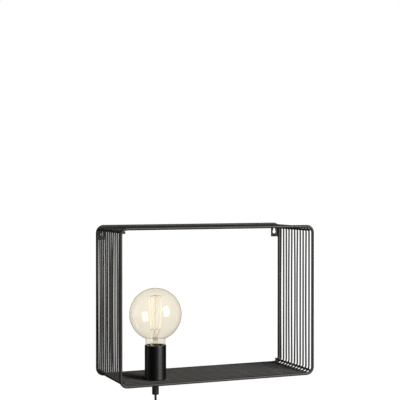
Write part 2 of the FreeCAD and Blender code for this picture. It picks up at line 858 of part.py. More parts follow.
def switch_half(depth):
    """One moulded half of the switch, from the parting plane to y = depth, with rounded
    outer edges and half of the cord's channel at each end."""
    body = Part.Face(switch_outline()).extrude(V(0, depth, 0))
    rim = [e for e in body.Edges if abs(e.CenterOfMass.y - depth) < 1e-3]
    body = body.makeFillet(SWITCH_EDGE, rim)
    half = SWITCH_LENGTH / 2
    for sign in (-1, 1):
        mouth, end = V(0, 0, sign * (half + 1)), V(0, 0, sign * (half - SWITCH_CORD_HOLD))
        body = body.cut(cylinder(CORD + 0.2, mouth, end))
    return body


def switch_place(shape):
    shape.translate(V(HOLDER_X, HOLDER_Y, SWITCH_MIDDLE))
    return shape


def switch_cover():
    """The front half, with the rocker's window and the sockets for its pins."""
    body = switch_half(-SWITCH_HALF_DEPTH)
    half_x, half_z = ROCKER_HALF[0] + 0.2, ROCKER_HALF[1] + ROCKER_END_GAP
    window = block(V(0, -SWITCH_HALF_DEPTH / 2, 0), (2 * half_x, SWITCH_HALF_DEPTH + 2, 2 * half_z))
    pivot_y = -SWITCH_HALF_DEPTH + ROCKER_PIVOT_INSET
    reach = ROCKER_HALF[0] + ROCKER_PIN_REACH + 0.2
    sockets = cylinder(ROCKER_PIN + 0.1, V(-reach, pivot_y, 0), V(reach, pivot_y, 0))
    body = body.cut(window).cut(sockets)
    for sign in (-1, 1):
        z = sign * SWITCH_SCREW_HEIGHT
        body = body.cut(cylinder(SWITCH_SCREW, V(0, 0.1, z), V(0, -5, z)))
    return switch_place(body)


def switch_base():
    """The back half, with two recessed screw holes."""
    body = switch_half(SWITCH_HALF_DEPTH)
    seat = SWITCH_HALF_DEPTH - SWITCH_SCREW_SEAT
    outside = SWITCH_HALF_DEPTH + 1
    for sign in (-1, 1):
        z = sign * SWITCH_SCREW_HEIGHT
        body = body.cut(cylinder(SWITCH_SCREW + 0.6, V(0, -1, z), V(0, outside, z)))
        body = body.cut(cylinder(SWITCH_SCREW_HEAD + 0.6, V(0, seat, z), V(0, outside, z)))
    return switch_place(body)


def switch_screws():
    """Two cross-head screws that come from the back and hold the halves together."""
    head_height, slot_width, slot_length = 1.8, 1.0, 6.0
    seat = SWITCH_HALF_DEPTH - SWITCH_SCREW_SEAT
    screws = []
    for sign in (-1, 1):
        z = sign * SWITCH_SCREW_HEIGHT
        top = V(0, seat + head_height, z)
        head = cylinder(SWITCH_SCREW_HEAD, V(0, seat, z), top)
        for size_x, size_z in ((slot_width, slot_length), (slot_length, slot_width)):
            head = head.cut(block(top, (size_x, 2 * SLOT_DEPTH, size_z)))
        shank = cylinder(SWITCH_SCREW, V(0, -4.5, z), V(0, seat, z))
        screws.append(head.fuse(shank))
    return switch_place(Part.makeCompound(screws))


def switch_rocker():
    """The rocker, drawn level and then tilted to its first click. Its two pins turn in the
    cover's sockets."""
    half_x, half_z = ROCKER_HALF
    face, dish, side, keel, keel_half = -4.6, -3.3, -1.5, 2.6, 3.0
    profile = outline(
        (face, -half_z),
        ((dish, 0), (face, half_z)),
        (side, half_z),
        (keel, keel_half),
        (keel, -keel_half),
        (side, -half_z),
    )
    body = Part.Face(profile).extrude(V(0, 2 * half_x, 0))
    body.rotate(V(0, 0, 0), UP, 90)
    body.translate(V(half_x, 0, 0))
    reach = half_x + ROCKER_PIN_REACH
    pins = cylinder(ROCKER_PIN, V(-reach, 0, 0), V(reach, 0, 0))
    body = body.fuse(pins).removeSplitter()
    body.rotate(V(0, 0, 0), V(1, 0, 0), -ROCKER_TILT)
    body.translate(V(0, -SWITCH_HALF_DEPTH + ROCKER_PIVOT_INSET, 0))
    return switch_place(body)


# The plug


def plug_section(z, width, depth):
    """A flat six-sided section, level at height z."""
    x, y = width / 2, depth / 2
    shoulder = x - y
    points = [(x, 0), (shoulder, y), (-shoulder, y), (-x, 0), (-shoulder, -y), (shoulder, -y), (x, 0)]
    return Part.makePolygon([V(px, py, z) for px, py in points])


def plug_body():
    """The moulded plug: a flat six-sided body that swells to its face, and the ribbed
    sleeve that stiffens the cord."""
    sections = [
        plug_section(PLUG_TOP, 11.0, 9.0),
        plug_section(PLUG_TOP - 10, 20.0, 11.0),
        plug_section(PLUG_TOP - 24, 31.0, 13.2),
        plug_section(PLUG_TOP - PLUG_LENGTH, PLUG_WIDTH, PLUG_DEPTH),
    ]
    body = Part.makeLoft(sections, True, True)
    shape = body.fuse(relief_sleeve()).removeSplitter()
    shape.translate(tail_route()[-1])
    return shape


def relief_sleeve():
    """The sleeve above the plug's body, with a groove all round at even steps."""
    thin, thick = RELIEF_DIAMETERS[0] / 2, RELIEF_DIAMETERS[1] / 2
    first_groove = -2.5
    sleeve = Part.makeCone(thin, thick, RELIEF_LENGTH - 2, V(0, 0, 0), DOWN)
    for k in range(RELIEF_GROOVES):
        top = V(0, 0, first_groove - k * GROOVE_PITCH)
        sleeve = sleeve.cut(tube(3 * thick, GROOVE_FLOOR_DIAMETER, top, top + DOWN * GROOVE_WIDTH))
    return sleeve


def plug_pins():
    """Two round pins, seated a little way into the plug's face."""
    face = tail_route()[-1] + V(0, 0, PLUG_TOP - PLUG_LENGTH)
    pins = []
    for side in (-1, 1):
        start = face + V(side * PIN_SPACING / 2, 0, 0)
        pin = cylinder(PIN_DIAMETER, start, start + V(0, 0, -PIN_LENGTH))
        tip = [e for e in pin.Edges if abs(e.CenterOfMass.z - (start.z - PIN_LENGTH)) < 1e-3]
        pins.append(pin.makeFillet(PIN_TIP_RADIUS, tip))
    return pins


def build():
    nodes = {}
    nodes.update(wire_loops())
    nodes.update(corner_rods())
    nodes["left_keyhole_tab"] = keyhole_tab(-1)
    nodes["right_keyhole_tab"] = keyhole_tab(1)
    nodes["holder_cup"] = holder_cup()
    nodes["socket_insert"] = socket_insert()
    nodes["screw_shell"] = screw_shell()
    nodes["centre_contact"] = centre_contact()
    nodes["terminal_blocks"] = terminal_blocks()
    nodes["terminal_screws"] = terminal_screws()
    nodes["threaded_nipple"] = threaded_nipple()
    nodes["lock_nut"] = lock_nut()
    nodes["cord_grip"] = cord_grip()
    nodes["grip_screw"] = grip_screw()
    nodes["cord_in_grip"] = cord_in_grip()
    nodes["cord_cores"] = cord_cores()
    nodes["bulb_glass"] = bulb_glass()
    nodes["bulb_cap"] = bulb_cap()
    nodes["cap_insulator"] = cap_insulator()
    nodes["tip_contact"] = tip_contact()
    nodes["bulb_stem"] = bulb_stem()
    nodes["filament"] = filament()
    nodes["cage_supports"] = cage_supports()
    nodes["lead_wires"] = lead_wires()
    drop_top = V(HOLDER_X, HOLDER_Y, GRIP_BOTTOM)
    nodes["cord_drop"] = cylinder(CORD, drop_top, V(HOLDER_X, HOLDER_Y, SWITCH_TOP))
    nodes["switch_cover"] = switch_cover()
    nodes["switch_base"] = switch_base()
    nodes["switch_screws"] = switch_screws()
    nodes["switch_rocker"] = switch_rocker()
    nodes["cord_lead"] = rounded_tube(lead_route(), "cord_lead")
    nodes["cord_coil"] = cord_coil()
    nodes["coil_tie"] = coil_tie()
    nodes["cord_tail"] = rounded_tube(tail_route(), "cord_tail")
    nodes["plug_body"] = plug_body()
    left_pin, right_pin = plug_pins()
    nodes["plug_pin_left"] = left_pin
    nodes["plug_pin_right"] = right_pin
    return nodes


os.makedirs("parts", exist_ok=True)
for name, shape in build().items():
    if not shape.isValid():
        print("not valid:", name)
    shape.exportStep(os.path.join("parts", name + ".step"))
    box = shape.BoundBox
    heights = f"z {box.ZMin:.1f} to {box.ZMax:.1f}"
    print(f"{name}: {len(shape.Solids)} solid(s), volume {shape.Volume:.0f} mm3, {heights}")
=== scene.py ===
"""Wall lamp with a wire shelf: its finished surfaces, cord and studio.

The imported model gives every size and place. Lengths here are in metres, as in the frame, and
millimetres are written as 3.0 * MM. +Z is up, +Y goes into the wall and +X is to the right.
"""
import math

import bmesh
import bpy
import numpy as np
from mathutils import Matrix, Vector


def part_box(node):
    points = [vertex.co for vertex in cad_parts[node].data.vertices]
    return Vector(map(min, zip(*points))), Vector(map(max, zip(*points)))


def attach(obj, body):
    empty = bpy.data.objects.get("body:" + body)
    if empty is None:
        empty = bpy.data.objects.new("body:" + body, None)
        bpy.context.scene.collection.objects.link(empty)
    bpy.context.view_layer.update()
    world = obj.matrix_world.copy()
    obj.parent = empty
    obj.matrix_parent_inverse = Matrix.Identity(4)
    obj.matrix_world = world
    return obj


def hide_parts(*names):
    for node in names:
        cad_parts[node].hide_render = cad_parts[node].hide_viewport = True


bl_info = {
    "name": "Wall Lamp With Shelf",
    "version": (1, 0, 0),
    "blender": (4, 5, 0),
    "location": "View3D > Sidebar > Lamp",
    "description": "Dresses a wire wall shelf with a globe lamp, its cord and a studio",
    "category": "Add Mesh",
}

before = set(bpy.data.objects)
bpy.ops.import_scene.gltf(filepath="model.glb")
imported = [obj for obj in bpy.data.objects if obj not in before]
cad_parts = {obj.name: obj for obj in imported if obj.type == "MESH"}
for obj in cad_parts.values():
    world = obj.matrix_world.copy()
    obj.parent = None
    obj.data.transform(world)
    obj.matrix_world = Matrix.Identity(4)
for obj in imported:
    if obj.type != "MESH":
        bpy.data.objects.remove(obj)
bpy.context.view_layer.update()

MM = 0.001
TAU = 2 * math.pi

THIN_LOOPS = [f"wire_loop_{number:02d}" for number in range(1, 12)]
LOOPS = ["back_loop"] + THIN_LOOPS + ["front_loop"]
RODS = [f"{level}_{side}_rod" for level in ("upper", "lower") for side in ("left", "right")]


# -------- places read from the frame


def middle(node):
    """The middle of a node's box."""
    return np.array([(a + b) / 2 for a, b in zip(*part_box(node))])


def half_width(node):
    low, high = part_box(node)
    return (high.x - low.x) / 2


def heights(node):
    """A node's lowest and highest level above the cup's foot."""
    low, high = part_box(node)
    return low.z - AXIS[2], high.z - AXIS[2]


# The point where the lampholder's vertical axis meets the shelf
AXIS = middle("holder_cup")
AXIS[2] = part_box("holder_cup")[0].z
GLOBE_RADIUS = half_width("bulb_glass")
GLOBE_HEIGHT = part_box("bulb_glass")[1].z - GLOBE_RADIUS - AXIS[2]
NIPPLE_HOLE = 4.15 * MM


# -------- shapes

# Points closer than this are one point
SEAM = 0.002 * MM

# The extra point beyond an arc stands this many tangent lengths from the corner, on a side
# that is longer than this many
FLAT_POINT = 1.2
FLAT_ROOM = 3.0


def points_of(*parts):
    """Points from arrays of their coordinates."""
    return np.stack(np.broadcast_arrays(*parts), axis=-1)


def full_turn(count):
    """Even angles round a circle, without the last, which is the first again."""
    return np.linspace(0, TAU, count, endpoint=False)


def patch(points, wrap_u=False, wrap_v=False):
    """Vertices and quads of the surface points[u, v]. A wrapped direction closes on itself."""
    rows, columns = points.shape[:2]
    index = np.arange(rows * columns).reshape(rows, columns)
    if wrap_u:
        index = np.vstack([index, index[:1]])
    if wrap_v:
        index = np.hstack([index, index[:, :1]])
    corners = [index[:-1, :-1], index[1:, :-1], index[1:, 1:], index[:-1, 1:]]
    return points.reshape(-1, 3), np.stack(corners, axis=-1).reshape(-1, 4)


def mesh_of(name, patches):
    """One mesh of several patches, with seams and poles merged and faces turned outwards."""
    starts = np.cumsum([0] + [len(vertices) for vertices, _ in patches])
    vertices = np.concatenate([v for v, _ in patches])
    quads = np.concatenate([q + start for (_, q), start in zip(patches, starts)])
    mesh = bpy.data.meshes.new(name)
    mesh.vertices.add(len(vertices))
    mesh.loops.add(quads.size)
    mesh.polygons.add(len(quads))
    mesh.vertices.foreach_set("co", vertices.astype(np.float32).ravel())
    mesh.loops.foreach_set("vertex_index", quads.astype(np.int32).ravel())
    mesh.polygons.foreach_set("loop_start", np.arange(0, quads.size, 4, dtype=np.int32))
    mesh.update(calc_edges=True)
    shape = bmesh.new()
    shape.from_mesh(mesh)
    bmesh.ops.remove_doubles(shape, verts=shape.verts, dist=SEAM)
    bmesh.ops.recalc_face_normals(shape, faces=shape.faces)
    shape.to_mesh(mesh)
    shape.free()
    mesh.validate()
    return mesh


def add_object(name, data):
    """A new object in the scene."""
    made = bpy.data.objects.new(name, data)
    bpy.context.scene.collection.objects.link(made)
    return made


def add_piece(name, patches, material, body, nodes=(), crease_deg=38):
    """A finished piece: its mesh, material and body, and the nodes that it stands for."""
    mesh = mesh_of(name, patches)
    mesh.shade_smooth()
    mesh.set_sharp_from_angle(angle=math.radians(crease_deg))
    mesh.materials.append(material)
    piece = add_object(name, mesh)
    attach(piece, body)
    if nodes:
        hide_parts(*nodes)
    return piece


def dress(material, *nodes):
    """Gives CAD nodes whose shape is kept their finished material."""
    for node in nodes:
        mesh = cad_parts[node].data
        mesh.materials.clear()
        mesh.materials.append(material)


def fillets(corners, steps=6, closed=False):
    """Points along a line through corners (a, b, fillet radius). Each corner is an arc that
    touches both of its sides; a radius of 0 keeps it sharp. A little beyond each end of an arc
    stands one more point, so that smooth shading leaves a long straight side flat."""
    here = np.array([c[:2] for c in corners], float)
    points = []
    for k, (_, _, radius) in enumerate(corners):
        at_end = not closed and k in (0, len(corners) - 1)
        if radius == 0 or at_end:
            points.append(here[k : k + 1])
            continue
        back = here[k - 1] - here[k]
        ahead = here[(k + 1) % len(here)] - here[k]
        room_back, room_ahead = np.linalg.norm(back), np.linalg.norm(ahead)
        back /= room_back
        ahead /= room_ahead
        half = math.acos(np.clip(back @ ahead, -1, 1)) / 2
        inwards = (back + ahead) / np.linalg.norm(back + ahead)
        tangent = radius / math.tan(half)
        centre = here[k] + inwards * radius / math.sin(half)
        first = here[k] + back * tangent - centre
        last = here[k] + ahead * tangent - centre
        share = np.linspace(0, 1, steps + 1)[:, None]
        spread = math.pi - 2 * half
        arc = (np.sin((1 - share) * spread) * first + np.sin(share * spread) * last) / math.sin(spread)
        if room_back > FLAT_ROOM * tangent:
            points.append((here[k] + back * tangent * FLAT_POINT)[None])
        points.append(centre + arc)
        if room_ahead > FLAT_ROOM * tangent:
            points.append((here[k] + ahead * tangent * FLAT_POINT)[None])
    return np.concatenate(points)


def about_axis(radius, height, segments=96, centre=AXIS):
    """Points about a vertical axis: at angle t, (radius cos t, radius sin t, height)."""
    angle = full_turn(segments)
    return points_of(radius * np.cos(angle), radius * np.sin(angle), height) + centre


def rings_of(profile, segments=96, centre=AXIS):
    """The rings that the points (radius, height) of a profile draw about a vertical axis."""
    profile = np.array(profile)
    return about_axis(profile[:, :1], profile[:, 1:], segments, centre)


def turned(profile, segments=96, centre=AXIS):
    """A profile of (radius, height) turned about a vertical axis."""
    return patch(rings_of(profile, segments, centre), wrap_v=True)


def bar(start, end, radius, sides=16):
    """A round bar with domed ends: over each dome the radius is the bar's times sin(s), and
    the way along it is 0.6 radius (1 - cos(s)), for s from 0 to a quarter turn."""
    start, end = np.array(start, float), np.array(end, float)
    length = np.linalg.norm(end - start)
    along = (end - start) / length
    side = np.cross(along, [0.31, 0.87, 0.38])
    side /= np.linalg.norm(side)
    across = np.cross(along, side)
    dome = radius * 0.6
    lift = np.linspace(0, math.pi / 2, 5)
    rise = np.append(dome * (1 - np.cos(lift)), dome * FLAT_POINT)
    reach = np.concatenate([rise, length - rise[::-1]])
    size = radius * np.concatenate([np.sin(lift), [1, 1], np.sin(lift[::-1])])
    angle = full_turn(sides)
    ring = np.cos(angle)[:, None] * side + np.sin(angle)[:, None] * across
    points = start + reach[:, None, None] * along + size[:, None, None] * ring
    return patch(points, wrap_v=True)


def tube_along(points, radius, sides=12, reference=(0.21, 0.93, 0.3)):
    """A tube of one radius carried along a list of points. Its section turns with the line's
    direction, which is the difference of each point's neighbours."""
    points = np.array(points, float)
    along = np.gradient(points, axis=0)
    along /= np.linalg.norm(along, axis=1)[:, None]
    side = np.cross(along, reference)
    side /= np.linalg.norm(side, axis=1)[:, None]
    across = np.cross(along, side)
    angle = full_turn(sides)
    ring = np.cos(angle)[None, :, None] * side[:, None] + np.sin(angle)[None, :, None] * across[:, None]
    shell = points[:, None] + radius * ring
    ends = [np.repeat(points[k][None, None], sides, axis=1) for k in (0, -1)]
    return patch(np.concatenate([ends[0], shell, ends[1]]), wrap_v=True)


def ball(centre, radii, rings=12, sides=18):
    """An ellipsoid: (cos a cos b, cos a sin b, sin a) times its three half sizes."""
    rise = np.linspace(-math.pi / 2, math.pi / 2, rings + 1)[:, None]
    turn = full_turn(sides)
    unit = points_of(np.cos(rise) * np.cos(turn), np.cos(rise) * np.sin(turn), np.sin(rise))
    return patch(unit * np.array(radii) + np.array(centre), wrap_v=True)


def smooth_line(points, steps=8):
    """A line through every point: each stretch is the cubic whose end directions are half the
    difference of the neighbours."""
    points = np.array(points, float)
    slope = np.gradient(points, axis=0)
    share = np.linspace(0, 1, steps, endpoint=False)[None, :, None]
    a, b = points[:-1, None], points[1:, None]
    da, db = slope[:-1, None], slope[1:, None]
    cubic = (
        (2 * share**3 - 3 * share**2 + 1) * a
        + (share**3 - 2 * share**2 + share) * da
        + (3 * share**2 - 2 * share**3) * b
        + (share**3 - share**2) * db
    )
    return np.concatenate([cubic.reshape(-1, 3), points[-1:]])


def arc_points(centre, radius, start_deg, end_deg, steps):
    """Points (a, b) along an arc about a centre."""
    angle = np.radians(np.linspace(start_deg, end_deg, steps))
    return np.array(centre) + radius * points_of(np.cos(angle), np.sin(angle))


def by_angle(outline, centre, count):
    """The closed outline's points at even angles about a centre from which all of it is seen.
    The outline is first divided evenly by length, so that its straight sides stay straight."""
    closed = np.vstack([outline, outline[:1]])
    steps = np.hypot(*np.diff(closed, axis=0).T)
    travel = np.concatenate([[0], np.cumsum(steps)])
    even = np.linspace(0, travel[-1], 40 * count)
    away = points_of(*[np.interp(even, travel, closed[:, k]) for k in (0, 1)]) - centre
    angle = np.unwrap(np.arctan2(away[:, 1], away[:, 0]))
    distance = np.hypot(away[:, 0], away[:, 1])
    if angle[-1] < angle[0]:
        angle, distance = angle[::-1], distance[::-1]
    wanted = angle[0] + full_turn(count)
    reach = np.interp(wanted, angle, distance)
    ring = centre + points_of(np.cos(wanted), np.sin(wanted)) * reach[:, None]
    first = np.argmin(np.mod(wanted, TAU))
    return np.roll(ring, -first, axis=0)


def inset(ring, distance):
    """A closed ring moved inwards along its own normal."""
    along = np.roll(ring, -1, axis=0) - np.roll(ring, 1, axis=0)
    along /= np.linalg.norm(along, axis=1)[:, None]
    inward = points_of(-along[:, 1], along[:, 0])
    if np.sum(inward * (ring - ring.mean(axis=0))) > 0:
        inward = -inward
    return ring + inward * distance


def ring_at(ring, depth):
    """A ring of (x, z) points stood up at a depth y."""
    return points_of(ring[:, 0], depth, ring[:, 1])


# -------- materials


class Signal:
    """An output socket in a material. Arithmetic on it adds Math nodes to the material."""

    def __init__(self, recipe, socket):
        self.recipe = recipe
        self.socket = socket

    def _math(self, operation, a, b):
        return self.recipe.node("ShaderNodeMath", {"operation": operation}, {0: a, 1: b})

    def __add__(self, other):
        return self._math("ADD", self, other)

    __radd__ = __add__

    def __sub__(self, other):
        return self._math("SUBTRACT", self, other)

    def __rsub__(self, other):
        return self._math("SUBTRACT", other, self)

    def __mul__(self, other):
        return self._math("MULTIPLY", self, other)

    __rmul__ = __mul__


class Recipe:
    """A material under construction, with its Principled shader."""

    def __init__(self, name):
        self.material = bpy.data.materials.new(name)
        self.material.use_nodes = True
        self.tree = self.material.node_tree
        self.shader = self.tree.nodes["Principled BSDF"]

    @classmethod
    def of_tree(cls, tree):
        """A recipe for nodes that belong to no material, such as the world's."""
        recipe = cls.__new__(cls)
        recipe.tree = tree
        return recipe

    def node(self, kind, settings, inputs, output=0):
        """Adds a node with its settings, then the values or links of its inputs. Gives the
        output that is asked for."""
        node = self.tree.nodes.new(kind)
        for name, value in settings.items():
            setattr(node, name, value)
        for name, value in inputs.items():
            self._feed(node.inputs[name], value)
        return Signal(self, node.outputs[output])

    def _feed(self, socket, value):
        if isinstance(value, Signal):
            self.tree.links.new(value.socket, socket)
        else:
            socket.default_value = value

    def place(self):
        return self.node("ShaderNodeTexCoord", {}, {}, "Object")

    def noise(self, size, detail=2.0, stretch=(1, 1, 1)):
        """Smooth noise from 0 to 1 whose features are about size metres across."""
        scaled = self.node("ShaderNodeMapping", {}, {"Vector": self.place(), "Scale": stretch})
        return self.node("ShaderNodeTexNoise", {}, {"Vector": scaled, "Scale": 1 / size, "Detail": detail})

    def blend(self, share, a, b):
        settings = {"data_type": "RGBA", "clamp_factor": True}
        return self.node("ShaderNodeMix", settings, {0: share, 6: a, 7: b}, 2)

    def bump(self, height, depth, strength=1.0):
        inputs = {"Height": height, "Distance": depth, "Strength": strength}
        return self.node("ShaderNodeBump", {}, inputs)

    def set(self, **values):
        """Feeds the shader and gives the material. Underscores in a name stand for the
        socket's spaces."""
        for name, value in values.items():
            self._feed(self.shader.inputs[name.replace("_", " ")], value)
        return self.material


BLACK, WHITE = (0, 0, 0, 1), (1, 1, 1, 1)


def rgba(color, factor=1.0):
    """A colour times a factor, as a shader takes it."""
    return (*[min(1.0, c * factor) for c in color], 1.0)


def powder_coat(name, color, peel=0.005 * MM):
    """Matt powder coat: a fine orange peel over smaller grains, a little uneven in sheen."""
    recipe = Recipe(name)
    waves = recipe.noise(1.1 * MM, 2.0)
    grains = recipe.noise(0.28 * MM, 3.0)
    patches = recipe.noise(24 * MM, 3.0)
    tone = recipe.blend(patches * 0.6 + grains * 0.4, rgba(color, 0.78), rgba(color, 1.3))
    return recipe.set(
        Base_Color=tone,
        Roughness=grains * 0.16 + patches * 0.1 + 0.36,
        Normal=recipe.bump(waves + grains * 0.35, peel),
        Specular_IOR_Level=0.65,
    )


def satin_paint(name, color):
    """Satin wet paint on spun metal: nearly smooth, with faint turning lines under it."""
    recipe = Recipe(name)
    cloud = recipe.noise(9 * MM, 3.0)
    lines = recipe.noise(0.5 * MM, 2.0, (0.02, 0.02, 1))
    return recipe.set(
        Base_Color=recipe.blend(cloud, rgba(color, 0.85), rgba(color, 1.2)),
        Roughness=cloud * 0.08 + lines * 0.05 + 0.31,
        Normal=recipe.bump(lines + cloud * 0.5, 0.006 * MM),
        Specular_IOR_Level=0.8,
    )


def moulded_plastic(name, color, roughness=0.42, grain=0.35 * MM, depth=0.012 * MM):
    """Moulded plastic: spark-eroded grain and slightly cloudy sheen."""
    recipe = Recipe(name)
    cloud = recipe.noise(14 * MM, 2.0)
    pits = recipe.noise(grain, 3.0)
    return recipe.set(
        Base_Color=recipe.blend(cloud, rgba(color, 0.85), rgba(color, 1.2)),
        Roughness=cloud * 0.08 + pits * 0.1 + (roughness - 0.09),
        Normal=recipe.bump(pits, depth),
        Specular_IOR_Level=0.4,
    )


def plated_metal(name, color, roughness=0.25, lines=(1, 1, 1), tarnish=0.75):
    """Plated or drawn metal: fine lines, cloudy polish and slightly duller patches."""
    recipe = Recipe(name)
    streaks = recipe.noise(0.25 * MM, 3.0, lines)
    cloud = recipe.noise(5 * MM, 3.0)
    return recipe.set(
        Base_Color=recipe.blend(cloud, rgba(color), rgba(color, tarnish)),
        Metallic=1.0,
        Roughness=cloud * 0.14 + streaks * 0.1 + (roughness - 0.1),
        Normal=recipe.bump(streaks, 0.004 * MM),
    )


def bulb_glass(name, color, roughness=0.0, index=1.45):
    """Clear blown glass. Its wall is real, so the shader refracts at both faces."""
    recipe = Recipe(name)
    waves = recipe.noise(26 * MM, 1.0)
    return recipe.set(
        Base_Color=recipe.blend(waves, rgba(color), rgba(color, 0.985)),
        Roughness=roughness,
        IOR=index,
        Transmission_Weight=1.0,
        Normal=recipe.bump(waves, 0.05 * MM, 0.06),
    )


def glowing_strand(name, color, glow):
    """The filament: a pale strand that glows faintly and a little unevenly."""
    recipe = Recipe(name)
    uneven = recipe.noise(6 * MM, 2.0)
    return recipe.set(
        Base_Color=rgba(color),
        Roughness=uneven * 0.2 + 0.4,
        Emission_Color=recipe.blend(uneven, rgba(color), rgba(color, 0.9)),
        Emission_Strength=glow,
    )


def made_once(maker, name, *values):
    """The material of that name, made on its first use."""
    return bpy.data.materials.get(name) or maker(name, *values)


def frame_coat(scene):
    return made_once(powder_coat, "matt_black_coat", scene.lamp_frame.coat)


def zinc_plate():
    return made_once(plated_metal, "zinc_plate", (0.62, 0.63, 0.64), 0.34)


# -------- the settings


def color_setting(name, text, default):
    return bpy.props.FloatVectorProperty(
        name=name, description=text, subtype="COLOR", size=3, min=0.0, max=1.0, default=default
    )


def number_setting(name, text, default, **options):
    return bpy.props.FloatProperty(name=name, description=text, min=0.0, default=default, **options)


def length_setting(name, text, default):
    return number_setting(name, text, default, subtype="DISTANCE", unit="LENGTH", precision=5)


class FrameSettings(bpy.types.PropertyGroup):
    """The welded wire frame."""

    coat: color_setting("Coat", "Colour of the powder coat", (0.040, 0.036, 0.029))
    bead: length_setting("Weld bead", "Half length of a weld bead on a thin wire", 1.7 * MM)
    coat_depth: length_setting("Coat depth", "Thickness of the coat on a thin wire", 0.10 * MM)
    bow: length_setting("Bow", "How far a thin wire may bow between its welds", 1.0 * MM)


class HolderSettings(bpy.types.PropertyGroup):
    """The lampholder and the grip below it."""

    paint: color_setting("Paint", "Colour of the cup's satin paint", (0.002, 0.002, 0.002))
    wall: length_setting("Wall", "Thickness of the cup's sheet metal", 0.8 * MM)
    thread_pitch: length_setting("Thread pitch", "Rise of the bulb's thread in one turn", 3.629 * MM)


class BulbSettings(bpy.types.PropertyGroup):
    """The globe bulb."""

    tint: color_setting("Tint", "Colour that the glass gives to the light", (0.985, 0.955, 0.87))
    strand: color_setting("Strand", "Colour of the filament", (1.0, 0.90, 0.78))
    glow: number_setting("Glow", "Strength of the filament's light", 0.4)
    wall: length_setting("Wall", "Thickness of the glass", 0.8 * MM)


class CordSettings(bpy.types.PropertyGroup):
    """The mains cord with its switch and plug."""

    jacket: color_setting("Jacket", "Colour of the cord's jacket", (0.014, 0.014, 0.014))
    plastic: color_setting("Plastic", "Colour of the switch and the plug", (0.016, 0.016, 0.016))
    diameter: length_setting("Diameter", "Outside diameter of the cord", 4.2 * MM)


class StageSettings(bpy.types.PropertyGroup):
    """The floor, lights and camera."""

    floor: color_setting("Floor", "Colour of the floor", (0.80, 0.80, 0.80))
    fill: number_setting("Fill", "Strength of the even light from all sides", 0.09)
    room: number_setting("Room", "Brightness of the room that gloss shows in front", 0.012)
    backdrop: number_setting("Backdrop", "Brightness that gloss shows behind the lamp", 0.08)
    warmth: color_setting("Warmth", "Colour of the room in reflections", (1.0, 0.92, 0.80))
    key_power: number_setting("Key", "Power of the large lamp", 80.0, subtype="POWER", unit="POWER")


# -------- the frame

THICK_WIRE = 5.5 * MM

# The loops' inside corners are this round
INNER_CORNER = 9.5 * MM

# Shares of the bow, along x, y and z, that a level and an upright side may take
LEVEL_BOW = (0.0, 0.4, 0.0)
UPRIGHT_BOW = (1.0, 0.8, 0.0)
BOW_SEED = 5

# A weld bead's size on a thick wire, along the rod and across it, as shares of the setting,
# and how far out from the rod's axis it stands, as a share of the rod's radius
THICK_WIRE_BEAD = 1.35
BEAD_ALONG = 1.12
BEAD_ACROSS = 0.72
BEAD_OUT = 0.93

# The keyholes: their distance from the lamp's middle, their entry's and slot's radii, and the
# heights of the slot's top arc and of the hole's middle above the entry's centre
KEYHOLE_X = 180 * MM
ENTRY_RADIUS = 3.5 * MM
SLOT_RADIUS = 2 * MM
SLOT_TOP = 7 * MM
KEYHOLE_MIDDLE = 2.87 * MM


def loop_surface(node, coat, bows, stations=14, sides=20):
    """A rounded rectangle of round wire. With c the corner radius, r the wire's, and the
    directions a round the corner and b round the wire, a point is the corner's centre plus
    (c + r cos b) along (cos a, sin a), and r sin b along the depth. Each straight side bends by
    its own small bow times the sine of pi times the share of its length. The coat thickens the
    wire alone, not the rectangle."""
    low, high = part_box(node)
    middle_x, middle_y, middle_z = middle(node)
    radius = (high.y - low.y) / 2
    wire = 2 * radius if node in THIN_LOOPS else THICK_WIRE
    half_x = half_width(node) - wire - INNER_CORNER
    half_z = (high.z - low.z) / 2 - wire - INNER_CORNER
    turn = np.concatenate([np.linspace(k, k + 1, stations) for k in range(4)]) * TAU / 4
    quadrant = np.repeat(np.arange(4), stations)
    centre_x = np.array([1, -1, -1, 1])[quadrant] * half_x + middle_x
    centre_z = np.array([1, 1, -1, -1])[quadrant] * half_z + middle_z
    around = full_turn(sides)
    reach = INNER_CORNER + radius + (radius + coat) * np.cos(around)
    x = centre_x[:, None] + reach * np.cos(turn)[:, None]
    z = centre_z[:, None] + reach * np.sin(turn)[:, None]
    y = middle_y + (radius + coat) * np.sin(around)
    corners = points_of(x, y, z).reshape(4, stations, sides, 3)
    share = np.linspace(0, 1, 10)[1:-1, None, None]
    rows = []
    for here, there, bow in zip(corners, np.roll(corners, -1, axis=0), bows):
        side = here[-1] * (1 - share) + there[0] * share
        rows += [here, side + bow * np.sin(math.pi * share)]
    return patch(np.concatenate(rows), wrap_u=True, wrap_v=True)


class LAMP_OT_loops(bpy.types.Operator):
    """Build the thirteen loops of welded wire"""

    bl_idname = "lamp.loops"
    bl_label = "Wire loops"

    def execute(self, context):
        settings = context.scene.lamp_frame
        coat = frame_coat(context.scene)
        give = np.array([LEVEL_BOW, UPRIGHT_BOW, LEVEL_BOW, UPRIGHT_BOW]) * settings.bow
        draws = np.random.default_rng(BOW_SEED).uniform(-1, 1, (len(LOOPS), 4, 3))
        for number, node in enumerate(LOOPS):
            thin = node in THIN_LOOPS
            piece = loop_surface(node, settings.coat_depth * thin, draws[number] * give * thin)
            add_piece(f"loop_{number:02d}", [piece], coat, "lamp", [node])
        return {"FINISHED"}


